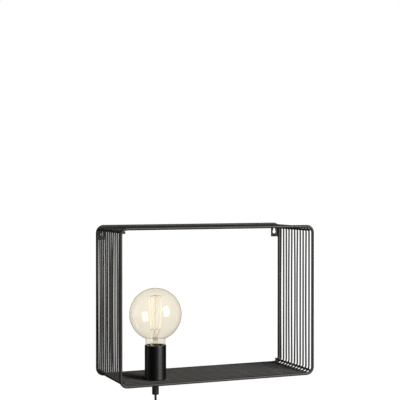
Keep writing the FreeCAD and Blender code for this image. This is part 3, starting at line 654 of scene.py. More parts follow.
def weld_beads(settings):
    """A small saddle of weld metal wherever a loop crosses a rod. Each is an ellipsoid,
    longest along the rod, on the rod's side towards the loop's corner."""
    beads = []
    for node in RODS:
        x, _, z = middle(node)
        out = half_width(node) * BEAD_OUT
        side = math.copysign(math.sqrt(0.5), x)
        level = math.copysign(math.sqrt(0.5), z - middle("back_loop")[2])
        for loop in LOOPS:
            size = settings.bead * (1.0 if loop in THIN_LOOPS else THICK_WIRE_BEAD)
            centre = (x + side * out, middle(loop)[1], z + level * out)
            radii = (size * BEAD_ACROSS, size * BEAD_ALONG, size * BEAD_ACROSS)
            beads.append(ball(centre, radii, 8, 12))
    return beads


class LAMP_OT_rods(bpy.types.Operator):
    """Build the four corner rods and their weld beads"""

    bl_idname = "lamp.rods"
    bl_label = "Corner rods"

    def execute(self, context):
        coat = frame_coat(context.scene)
        for node in RODS:
            low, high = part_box(node)
            x, _, z = middle(node)
            rod = bar((x, high.y, z), (x, low.y, z), half_width(node), 24)
            add_piece(node.replace("_rod", "_bar"), [rod], coat, "lamp", [node])
        beads = weld_beads(context.scene.lamp_frame)
        add_piece("weld_beads", beads, coat, "lamp")
        return {"FINISHED"}


def keyhole_plate(node):
    """A flat plate between its outline and its keyhole. The rings run from the keyhole over
    the front face, round the edge and back over the rear face, with bevelled rims."""
    low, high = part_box(node)
    entry_x = math.copysign(KEYHOLE_X, low.x)
    free, welded = (low.x, high.x) if low.x > 0 else (high.x, low.x)
    corners = [
        (free - entry_x, low.z, 1.0 * MM),
        (welded - entry_x, low.z, 0.4 * MM),
        (welded - entry_x, high.z, 8.8 * MM),
        (free - entry_x, high.z, 0.4 * MM),
    ]
    centre = np.array([0.0, KEYHOLE_MIDDLE])
    outer = by_angle(fillets(corners, 8, closed=True), centre, 128)
    entry = arc_points((0, 0), ENTRY_RADIUS, 125, 415, 60)
    slot = arc_points((0, SLOT_TOP), SLOT_RADIUS, 0, 180, 24)
    hole = by_angle(np.concatenate([entry, slot]), centre, 128)
    bevel = 0.25 * MM
    front, back = low.y, high.y
    rings = [
        ring_at(inset(hole, -bevel), front),
        ring_at(inset(outer, bevel), front),
        ring_at(outer, front + bevel),
        ring_at(outer, back - bevel),
        ring_at(inset(outer, bevel), back),
        ring_at(inset(hole, -bevel), back),
        ring_at(hole, back - bevel),
        ring_at(hole, front + bevel),
    ]
    return patch(np.stack(rings) + np.array([entry_x, 0, 0]), wrap_u=True, wrap_v=True)


class LAMP_OT_tabs(bpy.types.Operator):
    """Build the two keyhole tabs"""

    bl_idname = "lamp.tabs"
    bl_label = "Keyhole tabs"

    def execute(self, context):
        coat = frame_coat(context.scene)
        for side in ("left", "right"):
            node = f"{side}_keyhole_tab"
            add_piece(f"{side}_plate", [keyhole_plate(node)], coat, "lamp", [node], 25)
        return {"FINISHED"}


# -------- the lampholder

# The threads' waves: the radius of the shell's middle line, and half the height of each wave
SHELL_THREAD_RADIUS = 12.93 * MM
THREAD_DEPTH = 0.5 * MM
SHELL_WALL = 0.4 * MM


def cup_profile(wall):
    """The spun cup: a flat foot with a small roll, a straight side and a rounded rim."""
    outer = half_width("holder_cup")
    rim = heights("holder_cup")[1]
    floor = 1.5 * MM
    corners = [
        (NIPPLE_HOLE, 0, 0),
        (outer, 0, 1.0 * MM),
        (outer, rim, wall * 0.45),
        (outer - wall, rim, wall * 0.45),
        (outer - wall, floor, 0.6 * MM),
        (NIPPLE_HOLE, floor, 0),
        (NIPPLE_HOLE, 0, 0),
    ]
    return fillets(corners, 6)


def insert_profile():
    """The moulded insert: a foot in the cup, a stepped outside and the bore for the shell."""
    outer = half_width("socket_insert")
    foot, rim = heights("socket_insert")
    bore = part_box("screw_shell")[1].x - AXIS[0] + 0.05 * MM
    web = heights("screw_shell")[0]
    step = rim - 1.2 * MM
    contact_hole, wiring_room = 3.0 * MM, 12.0 * MM
    web_foot, room_foot = web - 5.0 * MM, foot + 3.0 * MM
    corners = [
        (NIPPLE_HOLE, foot, 0),
        (outer, foot, 0.3 * MM),
        (outer, rim, 1.0 * MM),
        (bore + 2.2 * MM, rim, 0.4 * MM),
        (bore + 2.0 * MM, step, 0.3 * MM),
        (bore, step, 0.4 * MM),
        (bore, web, 0.3 * MM),
        (contact_hole, web, 0.2 * MM),
        (contact_hole, web_foot, 0),
        (wiring_room, web_foot, 0.5 * MM),
        (wiring_room, room_foot, 0.5 * MM),
        (NIPPLE_HOLE, room_foot, 0),
        (NIPPLE_HOLE, foot, 0),
    ]
    return fillets(corners, 4)


def thread_surface(mean, low, high, pitch, fade, rows=150, segments=96):
    """A rounded screw thread: at angle t and height h the radius is the mean + the thread's
    depth times cos(turn h / pitch - t), and the wave fades to the mean over the ends."""
    height = np.linspace(low, high, rows)[:, None]
    angle = full_turn(segments)
    ends = np.clip(np.minimum(height - low, high - height) / fade, 0, 1)
    wave = np.cos(TAU * height / pitch - angle) * ends * ends * (3 - 2 * ends)
    return about_axis(mean + THREAD_DEPTH * wave, height, segments)


def shell_surfaces(pitch):
    """The brass screw shell: threaded inside and outside alike, one wall thick, with a foot
    that turns in over the web and a flat end at the mouth."""
    bottom, mouth = heights("screw_shell")
    foot, floor = bottom + 1.0 * MM, bottom + 0.1 * MM
    upper_floor = floor + SHELL_WALL
    fade = 1.5 * MM
    inside = thread_surface(SHELL_THREAD_RADIUS, foot, mouth, pitch, fade)
    outside = thread_surface(SHELL_THREAD_RADIUS + SHELL_WALL, foot, mouth, pitch, fade)
    under = rings_of([(10.5 * MM, floor), (12.6 * MM, floor)])
    over = rings_of([(12.5 * MM, upper_floor), (10.5 * MM, upper_floor)])
    rows = np.concatenate([under, outside, inside[::-1], over])
    return [patch(rows, wrap_u=True, wrap_v=True)]


def grip_profile():
    """The cord grip: a sleeve with a fine step under the shelf, a rounded lower edge and a
    flared mouth for the cord."""
    outer = half_width("cord_grip")
    bottom, top = heights("cord_grip")
    bore, bore_foot = 4.05 * MM, top - 12.5 * MM
    collar, collar_foot = outer - 0.35 * MM, top - 1.1 * MM
    mouth = 2.2 * MM
    corners = [
        (bore, top, 0),
        (collar, top, 0.15 * MM),
        (collar, collar_foot, 0.15 * MM),
        (outer, collar_foot, 0.2 * MM),
        (outer, bottom, 1.3 * MM),
        (mouth, bottom, 0.6 * MM),
        (mouth, bore_foot, 0),
        (bore, bore_foot, 0),
        (bore, top, 0),
    ]
    return fillets(corners, 6)


class LAMP_OT_holder(bpy.types.Operator):
    """Build the cup, the insert, the threaded shell and the cord grip"""

    bl_idname = "lamp.holder"
    bl_label = "Lampholder"

    def execute(self, context):
        settings = context.scene.lamp_holder
        paint = made_once(satin_paint, "satin_black_paint", settings.paint)
        resin = made_once(moulded_plastic, "black_resin", (0.02, 0.02, 0.02), 0.38)
        nylon = made_once(moulded_plastic, "black_nylon", (0.005, 0.005, 0.005), 0.45)
        brass = made_once(plated_metal, "drawn_brass", (0.78, 0.57, 0.24), 0.28, (1, 1, 0.05))
        add_piece("cup", [turned(cup_profile(settings.wall), 128)], paint, "lamp", ["holder_cup"])
        add_piece("insert", [turned(insert_profile())], resin, "lamp", ["socket_insert"])
        shell = shell_surfaces(settings.thread_pitch)
        add_piece("threaded_shell", shell, brass, "lamp", ["screw_shell"], 60)
        add_piece("sleeve", [turned(grip_profile(), 64)], nylon, "lamp", ["cord_grip"])
        dress(nylon, "grip_screw")
        dress(brass, "centre_contact", "terminal_blocks")
        dress(zinc_plate(), "terminal_screws", "threaded_nipple", "lock_nut")
        dress(made_once(moulded_plastic, "core_jacket", (0.20, 0.08, 0.03)), "cord_cores")
        return {"FINISHED"}


# -------- the bulb

CAP_THREAD_RADIUS = 12.58 * MM
MOUNT_TUBE = 4.6 * MM

# The filament's cage: its strands, where its first hook stands, and the radius and height of
# its lower and upper hooks
CAGE_STRANDS = 10
CAGE_TURN_DEG = 300.0
CAGE_LOWER = (9.0 * MM, 90.0 * MM)
CAGE_UPPER = (12.0 * MM, 151.0 * MM)
STRAND_RADIUS = 0.42 * MM
SUPPORT_RADIUS = 0.2 * MM
LEAD_RADIUS = 0.36 * MM
EYE_RADIUS = 0.75 * MM


def glass_outline(inset_by):
    """Half the outline of the glass, from its mouth in the cap to the top of the globe: a
    shoulder, a straight neck, a small fillet and the sphere, all moved in by inset_by."""
    globe = GLOBE_RADIUS - inset_by
    neck = 18.2 * MM - inset_by
    fillet = 3.0 * MM + inset_by
    mouth = 12.5 * MM - inset_by
    mouth_height = heights("bulb_glass")[0]
    centre_x = neck + fillet
    centre_h = GLOBE_HEIGHT - math.sqrt((globe + fillet) ** 2 - centre_x**2)
    slope = math.degrees(math.atan2(GLOBE_HEIGHT - centre_h, -centre_x))
    shoulder = fillets(
        [
            (mouth, mouth_height, 0),
            (mouth + 0.6 * MM, mouth_height + 2.8 * MM, 3 * MM),
            (neck, mouth_height + 5.2 * MM, 2.4 * MM),
            (neck, centre_h, 0),
        ],
        6,
    )[:-1]
    inward = arc_points((centre_x, centre_h), fillet, 180, slope, 10)
    sphere = arc_points((0, GLOBE_HEIGHT), globe, slope - 180, 90, 90)
    sphere[-1, 0] = 0
    return np.concatenate([shoulder, inward, sphere[1:]])


def cap_surface(pitch):
    """The bulb's threaded cap: a collar, the thread, and the turned-in foot that holds the
    black glass. Its inside is a plain taper from the collar to the foot, without a thread."""
    foot, collar = heights("bulb_cap")
    thread = thread_surface(CAP_THREAD_RADIUS, foot + 0.8 * MM, collar - 2.6 * MM, pitch, 1.4 * MM)
    below = [(10.9 * MM, foot), (11.4 * MM, foot), (12.1 * MM, foot + 0.3 * MM)]
    above = [
        (12.6 * MM, collar - 2.2 * MM),
        (12.6 * MM, collar),
        (12.35 * MM, collar),
        (12.25 * MM, collar - 0.3 * MM),
        (11.95 * MM, collar - 3 * MM),
        (11.0 * MM, foot + 0.6 * MM),
    ]
    rows = np.concatenate([rings_of(below), thread, rings_of(above)])
    return patch(rows, wrap_u=True, wrap_v=True)


def mount_surfaces():
    """The glass mount: a flare on the cap's mouth that draws in to a tube, a flattened pinch,
    and the thin post with a knob at its top. The pinch is an ellipse whose half widths follow
    the height."""
    cap_top = heights("bulb_cap")[1]
    pinch_foot, pinch_top, post_foot = cap_top + 16.5 * MM, cap_top + 23 * MM, cap_top + 21 * MM
    top = heights("cage_supports")[1]
    mouth, post, knob = 11.6 * MM, 1.2 * MM, 2.1 * MM
    flare = fillets(
        [
            (mouth, cap_top - 0.8 * MM, 0),
            (mouth, cap_top + 0.4 * MM, 0.4 * MM),
            (6.2 * MM, cap_top + 2.6 * MM, 5 * MM),
            (MOUNT_TUBE, cap_top + 8 * MM, 8 * MM),
            (MOUNT_TUBE, cap_top + 17.5 * MM, 0),
        ],
        8,
    )
    flare_inside = flare - np.array([0.9 * MM, 0])
    wall = np.concatenate([flare, flare_inside[::-1], flare[:1]])
    height = np.linspace(pinch_foot, pinch_top, 22)[:, None]
    share = np.clip((height - height[0]) / (4 * MM), 0, 1)
    share = share * share * (3 - 2 * share)
    end = np.sqrt(np.clip((height[-1] - height) / (1.6 * MM), 0, 1))
    wide = (MOUNT_TUBE + 0.3 * MM * share) * end
    thick = (MOUNT_TUBE - 2.5 * MM * share) * end
    sides = 40
    angle = full_turn(sides)
    pinch = points_of(wide * np.cos(angle), thick * np.sin(angle), height) + AXIS
    pinch = np.concatenate([rings_of([(0, pinch_foot)], sides), pinch])
    stalk = fillets(
        [
            (0, post_foot, 0),
            (post, post_foot, 0),
            (post, top - 3.2 * MM, 0.8 * MM),
            (knob, top - 1.4 * MM, 1.0 * MM),
            (knob, top + 0.6 * MM, 1.2 * MM),
            (0, top + 1.6 * MM, 0),
        ],
        5,
    )
    return [turned(wall, 64), patch(pinch, wrap_v=True), turned(stalk, 32)]


def cage_hook(number):
    """The filament's hooks in order, lower and upper in turn, in even steps round the post."""
    angle = math.radians(CAGE_TURN_DEG + number * 360 / (CAGE_STRANDS + 2))
    radius, height = CAGE_UPPER if number % 2 else CAGE_LOWER
    return AXIS + np.array([radius * math.cos(angle), radius * math.sin(angle), height])


def filament_surfaces():
    """The filament in one zigzag: each strand bows out a little between its hooks and turns
    round each hook in a short bend."""
    stations = []
    hooks = [cage_hook(k) for k in range(CAGE_STRANDS + 1)]
    for here, there in zip(hooks, hooks[1:]):
        share = np.array([0.03, 0.2, 0.5, 0.8, 0.97])[:, None]
        straight = here * (1 - share) + there * share
        outward = straight - AXIS
        outward[:, 2] = 0
        bow = 0.05 * np.sin(math.pi * share)
        stations.append(straight + outward * bow)
    line = smooth_line(np.concatenate([hooks[:1]] + stations + [hooks[-1:]]), 6)
    return [tube_along(line, STRAND_RADIUS, 10)]


def support_surfaces():
    """The fine wires from the post to the hooks, each ending in an open eye about the
    filament. An eye is an arc of 260 degrees."""
    wires = []
    for number in range(1, CAGE_STRANDS):
        hook = cage_hook(number)
        outward = hook - AXIS
        outward[2] = 0
        outward /= np.linalg.norm(outward)
        hub = np.array([AXIS[0], AXIS[1], hook[2]])
        lift = np.array([0, 0, 1.0 if number % 2 else -1.0])
        turn = np.radians(np.linspace(-150, 110, 14))[:, None]
        eye = hook + EYE_RADIUS * (np.cos(turn) * outward + np.sin(turn) * lift)
        start = hub + outward * 0.9 * MM
        middle = (start + eye[0]) / 2 + lift * 0.25 * MM
        line = np.concatenate([smooth_line([start, middle, eye[0]], 5)[:-1], eye])
        wires.append(tube_along(line, SUPPORT_RADIUS, 8, (0.9, 0.3, 0.13)))
    return wires


def lead_surfaces():
    """The two stiff leads: straight out of the pinch, then bent out to the filament's ends."""
    cap_top = heights("bulb_cap")[1]
    wires = []
    for side, number in ((1, 0), (-1, CAGE_STRANDS)):
        hook = cage_hook(number)
        foot = AXIS + np.array([side * 2.9 * MM, 0, cap_top + 17 * MM])
        knee = foot + np.array([side * 0.3 * MM, 0, 8 * MM])
        bend = hook * 0.6 + knee * 0.4 + np.array([side * 0.3 * MM, 0, -1.0 * MM])
        line = smooth_line([foot, (foot + knee) / 2, knee, bend, hook], 8)
        wires.append(tube_along(line, LEAD_RADIUS, 10))
    return wires


class LAMP_OT_bulb(bpy.types.Operator):
    """Build the globe bulb with its cap, mount, wires and filament"""

    bl_idname = "lamp.bulb"
    bl_label = "Bulb"

    def execute(self, context):
        settings = context.scene.lamp_bulb
        pitch = context.scene.lamp_holder.thread_pitch
        glass = made_once(bulb_glass, "tinted_glass", settings.tint)
        mount = made_once(bulb_glass, "mount_glass", (0.95, 0.88, 0.82), 0.1, 1.25)
        strand = made_once(glowing_strand, "pale_strand", settings.strand, settings.glow)
        brown = made_once(plated_metal, "brown_wire", (0.42, 0.26, 0.16), 0.4)
        silver = made_once(plated_metal, "nickel_cap", (0.82, 0.80, 0.76), 0.22, (1, 1, 0.05))
        solder = made_once(plated_metal, "solder_dome", (0.68, 0.68, 0.70), 0.35)
        vitrite = made_once(moulded_plastic, "black_glass", (0.01, 0.01, 0.012), 0.16)
        outside, inside = glass_outline(0.0), glass_outline(settings.wall)
        shell = np.concatenate([outside, inside[::-1], outside[:1]])
        add_piece("globe", [turned(shell, 128)], glass, "bulb", ["bulb_glass"], 60)
        add_piece("glass_mount", mount_surfaces(), mount, "bulb", ["bulb_stem"])
        add_piece("threaded_cap", [cap_surface(pitch)], silver, "bulb", ["bulb_cap"], 60)
        add_piece("strand", filament_surfaces(), strand, "bulb", ["filament"], 80)
        add_piece("hook_wires", support_surfaces(), brown, "bulb", ["cage_supports"], 80)
        add_piece("leads", lead_surfaces(), brown, "bulb", ["lead_wires"], 80)
        dress(vitrite, "cap_insulator")
        dress(solder, "tip_contact")
        return {"FINISHED"}


# -------- the cord

CORD_EXIT = Vector((AXIS[0], AXIS[1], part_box("cord_grip")[0].z))
SWITCH_LOW, SWITCH_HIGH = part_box("switch_cover")
SWITCH_MIDDLE = np.array([AXIS[0], AXIS[1], middle("switch_cover")[2]])
COIL_LAYERS = 4
COIL_TURNS = 10 + 250 / 360
COIL_START_DEG = 50.0
COIL_RADIUS = 24.0 * MM
COIL_BELOW_SWITCH = 69.0 * MM
COIL_GAP = 0.6 * MM
POINTS_A_TURN = 16


# The loose points, from the grip through the switch to the coil, and from it to the plug
CORD_DOWN = [
    tuple(CORD_EXIT),
    (-0.1101, -0.10227, -0.2970),
    (-0.1105, -0.10227, -0.3190),
    (-0.1105, -0.10227, -0.3440),
    (-0.1105, -0.10227, -0.3585),
    (-0.1105, -0.10227, -0.3725),
    (-0.0998, -0.09507, -0.3922),
]
CORD_OUT = [
    (-0.12652, -0.10947, -0.39332),
    (-0.11032, -0.11267, -0.38672),
    (-0.09502, -0.11627, -0.39102),
    (-0.08462, -0.11907, -0.40442),
    (-0.08462, -0.11907, -0.42102),
]


def coil_route(diameter):
    """The coil's points: it spirals in over one layer and out over the next at one pitch a
    turn, and climbs a layer in the half turn about each reversal. The points stand a little
    outside the circle, by one over the cosine of half their spacing, so that the line drawn
    between them keeps its radius."""
    pitch = diameter + COIL_GAP
    per_layer = COIL_TURNS / COIL_LAYERS
    spread = per_layer * pitch / 2
    count = round(COIL_TURNS * POINTS_A_TURN)
    turns = np.linspace(0, COIL_TURNS, count + 1)
    layer = np.minimum(np.floor(turns / per_layer), COIL_LAYERS - 1)
    into = turns - layer * per_layer
    inward = layer % 2 == 0
    radius = COIL_RADIUS + np.where(inward, spread - into * pitch, into * pitch - spread)
    radius /= math.cos(math.pi / POINTS_A_TURN)
    reversals = np.arange(1, COIL_LAYERS)[:, None] * per_layer
    part = np.clip((turns - reversals + 0.25) / 0.5, 0, 1)
    climbed = ((1 - np.cos(math.pi * part)) / 2).sum(axis=0)
    angle = np.radians(COIL_START_DEG) + TAU * turns
    centre = np.array([AXIS[0], AXIS[1], SWITCH_LOW.z - COIL_BELOW_SWITCH])
    depth = ((COIL_LAYERS - 1) / 2 - climbed) * pitch
    return centre + points_of(radius * np.sin(angle), depth, radius * np.cos(angle))


class LAMP_OT_cord(bpy.types.Operator):
    """Build the cord as one smooth line from the grip to the plug"""

    bl_idname = "lamp.cord"
    bl_label = "Cord"

    def execute(self, context):
        settings = context.scene.lamp_cord
        route = np.concatenate([CORD_DOWN, coil_route(settings.diameter), CORD_OUT])
        curve = bpy.data.curves.new("cord", "CURVE")
        curve.dimensions = "3D"
        curve.bevel_depth = settings.diameter / 2
        curve.bevel_resolution = 5
        curve.use_fill_caps = True
        curve.resolution_u = 5
        spline = curve.splines.new("NURBS")
        spline.points.add(len(route) - 1)
        spline.points.foreach_set("co", np.column_stack([route, np.ones(len(route))]).ravel())
        spline.order_u = 3
        spline.use_endpoint_u = True
        jacket = made_once(moulded_plastic, "cord_jacket", settings.jacket)
        curve.materials.append(jacket)
        cord = add_object("cord", curve)
        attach(cord, "lamp")
        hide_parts("cord_drop", "cord_lead", "cord_coil", "cord_tail")
        dress(jacket, "cord_in_grip")
        on_cord = ["switch_front", "switch_back", "rocker", "moulded_plug"]
        on_cord += [f"pin_{part}_{side}" for part in ("tip", "sleeve") for side in ("left", "right")]
        riders = [bpy.data.objects[name] for name in on_cord]
        riders += [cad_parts["switch_screws"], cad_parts["coil_tie"]]
        return {"FINISHED"}


# -------- the switch

ROCKER_REST_DEG = -7.0
PARTING = 0.02 * MM


def switch_ring(count=160):
    """The switch's outline (x, z): two flat ends and two long arcs between them."""
    half = (SWITCH_HIGH.z - SWITCH_LOW.z) / 2
    side = half_width("switch_cover")
    end = 5.5 * MM
    rise = side - end
    radius = (half**2 + rise**2) / (2 * rise)
    reach = math.degrees(math.asin(half / radius))
    right = arc_points((side - radius, 0), radius, -reach, reach, 40)
    left = arc_points((radius - side, 0), radius, 180 - reach, 180 + reach, 40)
    return by_angle(np.concatenate([right, left]), np.zeros(2), count)


def shell_rings(depth, sign):
    """Rings of one switch half from the parting line to its face: a fine parting groove, the
    side, and a quarter round of the edge."""
    outline = switch_ring()
    edge = 2.5 * MM
    groove = 0.35 * MM
    rings = [ring_at(inset(outline, groove), sign * PARTING), ring_at(outline, sign * groove)]
    for lift in np.linspace(0, math.pi / 2, 8):
        inward = edge * (1 - math.cos(lift))
        rings.append(ring_at(inset(outline, inward), sign * (depth - edge + edge * math.sin(lift))))
    return rings, inset(outline, edge)


def window_ring(width, height, radius, count=160):
    """A rounded rectangle (x, z) of half sizes width and height."""
    corners = [(sx * width, sz * height, radius) for sx, sz in ((1, 1), (-1, 1), (-1, -1), (1, -1))]
    return by_angle(fillets(corners, 5, closed=True), np.zeros(2), count)


def switch_front_surface():
    """The front half with the rocker's window, whose edge is rounded and whose walls go down
    to the parting plane."""
    depth = AXIS[1] - SWITCH_LOW.y
    rings, face = shell_rings(depth, -1)
    window = window_ring(6.2 * MM, 10.2 * MM, 0.8 * MM)
    raised = 0.5 * MM
    rings += [
        ring_at(face * 0.4 + inset(window, -1.4 * MM) * 0.6, -depth),
        ring_at(inset(window, -0.9 * MM), -depth + raised * 0.2),
        ring_at(inset(window, -0.3 * MM), -depth + raised * 0.25),
        ring_at(window, -depth + raised),
        ring_at(window, -PARTING),
    ]
    return patch(np.stack(rings) + SWITCH_MIDDLE, wrap_u=True, wrap_v=True)


def switch_back_surface():
    """The back half, closed over its whole face."""
    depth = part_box("switch_base")[1].y - AXIS[1]
    rings, face = shell_rings(depth, 1)
    rings += [ring_at(face * share, depth) for share in (0.75, 0.5, 0.25, 0)]
    floor = [ring_at(rings[0][:, [0, 2]] * share, PARTING) for share in (0, 0.5)]
    return patch(np.stack(floor + rings) + SWITCH_MIDDLE, wrap_v=True)


def rocker_surface():
    """The rocker: a rounded block whose face is hollowed, its height growing with the square
    of the distance from its middle, and which is tilted to its first click."""
    width, height = 6.0 * MM, 9.2 * MM
    hollow, rise, edge = 3.4 * MM, 1.2 * MM, 0.6 * MM
    face_from = -2.0 * MM
    outline = window_ring(width, height, 0.9 * MM)
    rings = [outline * 0.0, outline * 0.9, outline, outline]
    depths = [1.4 * MM, 1.4 * MM, 0.9 * MM, -2.2 * MM]
    for lift in np.linspace(0, math.pi / 2, 5):
        rings.append(inset(outline, edge * (1 - math.cos(lift))))
        depths.append(-(hollow - edge + edge * math.sin(lift)))
    for share in (0.8, 0.6, 0.4, 0.2, 0.0):
        rings.append(inset(outline, edge) * share)
        depths.append(-hollow)
    points = []
    for ring, depth in zip(rings, depths):
        curve = rise * (ring[:, 1] / height) ** 2
        points.append(ring_at(ring, depth - curve if depth < face_from else depth))
    x, y, z = np.moveaxis(np.stack(points), -1, 0)
    tilt = math.radians(ROCKER_REST_DEG)
    tilted_y = y * math.cos(tilt) - z * math.sin(tilt)
    tilted_z = y * math.sin(tilt) + z * math.cos(tilt)
    points = points_of(x, tilted_y, tilted_z)
    pivot = np.array([AXIS[0], AXIS[1] - 4.5 * MM, middle("switch_rocker")[2]])
    reach = np.array([7.2 * MM, 0, 0])
    pins = bar(pivot - reach, pivot + reach, 1.2 * MM)
    return [patch(points + pivot, wrap_v=True), pins]


class LAMP_OT_switch(bpy.types.Operator):
    """Build the in-line switch"""

    bl_idname = "lamp.switch"
    bl_label = "Switch"

    def execute(self, context):
        color = context.scene.lamp_cord.plastic
        plastic = made_once(moulded_plastic, "switch_plastic", color, 0.34)
        polished = made_once(moulded_plastic, "rocker_plastic", color, 0.24)
        front, back = switch_front_surface(), switch_back_surface()
        add_piece("switch_front", [front], plastic, "lamp", ["switch_cover"], 30)
        add_piece("switch_back", [back], plastic, "lamp", ["switch_base"], 30)
        add_piece("rocker", rocker_surface(), polished, "rocker", ["switch_rocker"], 40)
        dress(zinc_plate(), "switch_screws")
        dress(made_once(moulded_plastic, "tie_plastic", (0.02, 0.02, 0.02), 0.4), "coil_tie")
        return {"FINISHED"}


# -------- the plug

# Sections of the plug: the distance from its top in millimetres, and the shares of its full
# width and depth there
PLUG_STATIONS = [
    (14.5, 0.22, 0.45),
    (16.0, 0.27, 0.55),
    (20.0, 0.42, 0.70),
    (25.0, 0.58, 0.80),
    (30.0, 0.72, 0.87),
    (36.0, 0.87, 0.94),
    (42.0, 0.97, 0.985),
    (47.0, 1.0, 1.0),
    (50.4, 1.0, 1.0),
    (51.4, 0.985, 0.96),
    (52.0, 0.95, 0.90),
]


def plug_ring(width, depth, count=96):
    """A section of the plug: rounded four-sided where it is narrow, six-sided where wide."""
    x, y = width / 2, depth / 2
    if width < 2.1 * depth:
        round_to = y * 0.75
        corners = [(x, y, round_to), (-x, y, round_to), (-x, -y, round_to), (x, -y, round_to)]
    else:
        half = [(x, 0, y * 0.4), (x - y, y, y * 0.6), (y - x, y, y * 0.6)]
        corners = half + [(-a, -b, radius) for a, b, radius in half]
    return by_angle(fillets(corners, 6, closed=True), np.zeros(2), count)


def plug_body(size):
    """The moulded body below the sleeve, through its stations."""
    scale = size.z / PLUG_STATIONS[-1][0]
    rings = []
    for drop, wide, deep in PLUG_STATIONS:
        ring = plug_ring(wide * size.x, deep * size.y)
        rings.append(np.column_stack([ring, np.full(len(ring), -drop * scale)]))
    first, last = rings[0] * [0, 0, 1], rings[-1] * [0, 0, 1]
    return np.stack([first] + rings + [last])


def relief_profile():
    """The ribbed sleeve: a cone whose radius gains a flattened sine wave, fading at its foot."""
    length, pitch = 17 * MM, 3.1 * MM
    reach = np.linspace(0, length, 120)
    cone = 3.5 * MM + 0.8 * MM * reach / length
    ribs = np.clip(np.sin(TAU * (reach - pitch / 2) / pitch) * 3 + 0.8, -1, 1)
    fade = np.clip((length - reach) / (2 * MM), 0, 1)
    side = np.column_stack([cone + 0.28 * MM * ribs * fade, -reach])
    bore = 2.1 * MM
    return np.concatenate([[(bore, 0), (3.0 * MM, 0)], side, [(bore, -length), (bore, 0)]])


def top_of(node):
    """The point where a node's vertical middle line leaves it at the top."""
    x, y, _ = middle(node)
    return np.array([x, y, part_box(node)[1].z])


def plug_surfaces():
    low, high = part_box("plug_body")
    top = top_of("plug_body")
    return [patch(plug_body(high - low) + top, wrap_v=True), turned(relief_profile(), 48, top)]


def pin_profiles(node):
    """A plug pin's two parts: the bright tip, rounded at its end, and the slimmer insulating
    sleeve between it and the plug."""
    low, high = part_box(node)
    radius = half_width(node)
    slim = radius * 0.93
    foot = low.z - high.z
    seam = -10.0 * MM
    tip = [(0, seam + 2 * MM, 0), (radius, seam, 0.1 * MM), (radius, foot, 1.4 * MM), (0, foot, 0)]
    cover = [(0, 0, 0), (slim, 0, 0), (slim, seam, 0.15 * MM), (0, seam, 0)]
    return fillets(tip, 6), fillets(cover, 4)


class LAMP_OT_plug(bpy.types.Operator):
    """Build the plug and its two pins"""

    bl_idname = "lamp.plug"
    bl_label = "Plug"

    def execute(self, context):
        color = context.scene.lamp_cord.plastic
        plastic = made_once(moulded_plastic, "plug_plastic", color, 0.45)
        nickel = made_once(plated_metal, "nickel_pin", (0.80, 0.77, 0.70), 0.22, (1, 1, 0.05))
        sleeve = made_once(moulded_plastic, "pin_jacket", (0.02, 0.02, 0.02), 0.35)
        add_piece("moulded_plug", plug_surfaces(), plastic, "lamp", ["plug_body"], 30)
        for side in ("left", "right"):
            pin = f"plug_pin_{side}"
            tip, cover = [turned(profile, 32, top_of(pin)) for profile in pin_profiles(pin)]
            add_piece(f"pin_tip_{side}", [tip], nickel, "lamp", [pin])
            add_piece(f"pin_sleeve_{side}", [cover], sleeve, "lamp", [pin])
        return {"FINISHED"}


# -------- the studio

CAMERA_PLACE = Vector((-0.7694, -1.9034, 0.0863))
CAMERA_YAW_DEG = 22.51
CAMERA_PITCH_DEG = 0.62
CAMERA_LENS = 95.22
SENSOR = 36.0

# The lamps face this point
AIM = (0.0, -0.07, -0.12)
KEY_PLACE = (1.39, -2.59, 0.60)
KEY_SIZE = (1.5, 2.1)
LEFT_PLACE = (-2.4, 0.9, 0.3)
LEFT_SIZE = (1.3, 1.5)
# The left lamp's power as a share of the key's
LEFT_SHARE = 0.1

FLOOR_HALF = 14.0
FLOOR_BELOW_PLUG = 1.0 * MM

# How white the camera sees the floor near the lamp and far from it, and where it changes
FLOOR_SHADE = {"From Min": 0.8, "From Max": 4.0, "To Min": 0.84, "To Max": 1.0}


def add_camera():
    """The camera that was fitted to the photograph."""
    yaw, pitch = math.radians(CAMERA_YAW_DEG), math.radians(CAMERA_PITCH_DEG)
    forward = Vector((math.sin(yaw) * math.cos(pitch), math.cos(yaw) * math.cos(pitch), -math.sin(pitch)))
    data = bpy.data.cameras.new("camera")
    data.lens = CAMERA_LENS
    data.sensor_width = SENSOR
    data.clip_start = 0.05
    data.clip_end = 60
    camera = add_object("camera", data)
    camera.location = CAMERA_PLACE
    camera.rotation_euler = forward.to_track_quat("-Z", "Y").to_euler()
    bpy.context.scene.camera = camera


def add_softbox(name, place, size, power):
    """A rectangular lamp."""
    data = bpy.data.lights.new(name, "AREA")
    data.shape = "RECTANGLE"
    data.size, data.size_y = size
    data.energy = power
    lamp = add_object(name, data)
    lamp.location = place
    lamp.rotation_euler = (Vector(AIM) - Vector(place)).to_track_quat("-Z", "Y").to_euler()
    return lamp


def ray_kind(recipe, kind):
    return recipe.node("ShaderNodeLightPath", {}, {}, kind)


def white_rays(recipe):
    """1 for rays from the camera or through glass, which see the studio as white."""
    kinds = {0: ray_kind(recipe, "Is Camera Ray"), 1: ray_kind(recipe, "Is Transmission Ray")}
    return recipe.node("ShaderNodeMath", {"operation": "MAXIMUM"}, kinds)


def smooth_share(recipe, value, limits):
    """A smooth step of a value between limits."""
    settings = {"interpolation_type": "SMOOTHSTEP"}
    return recipe.node("ShaderNodeMapRange", settings, {"Value": value, **limits})


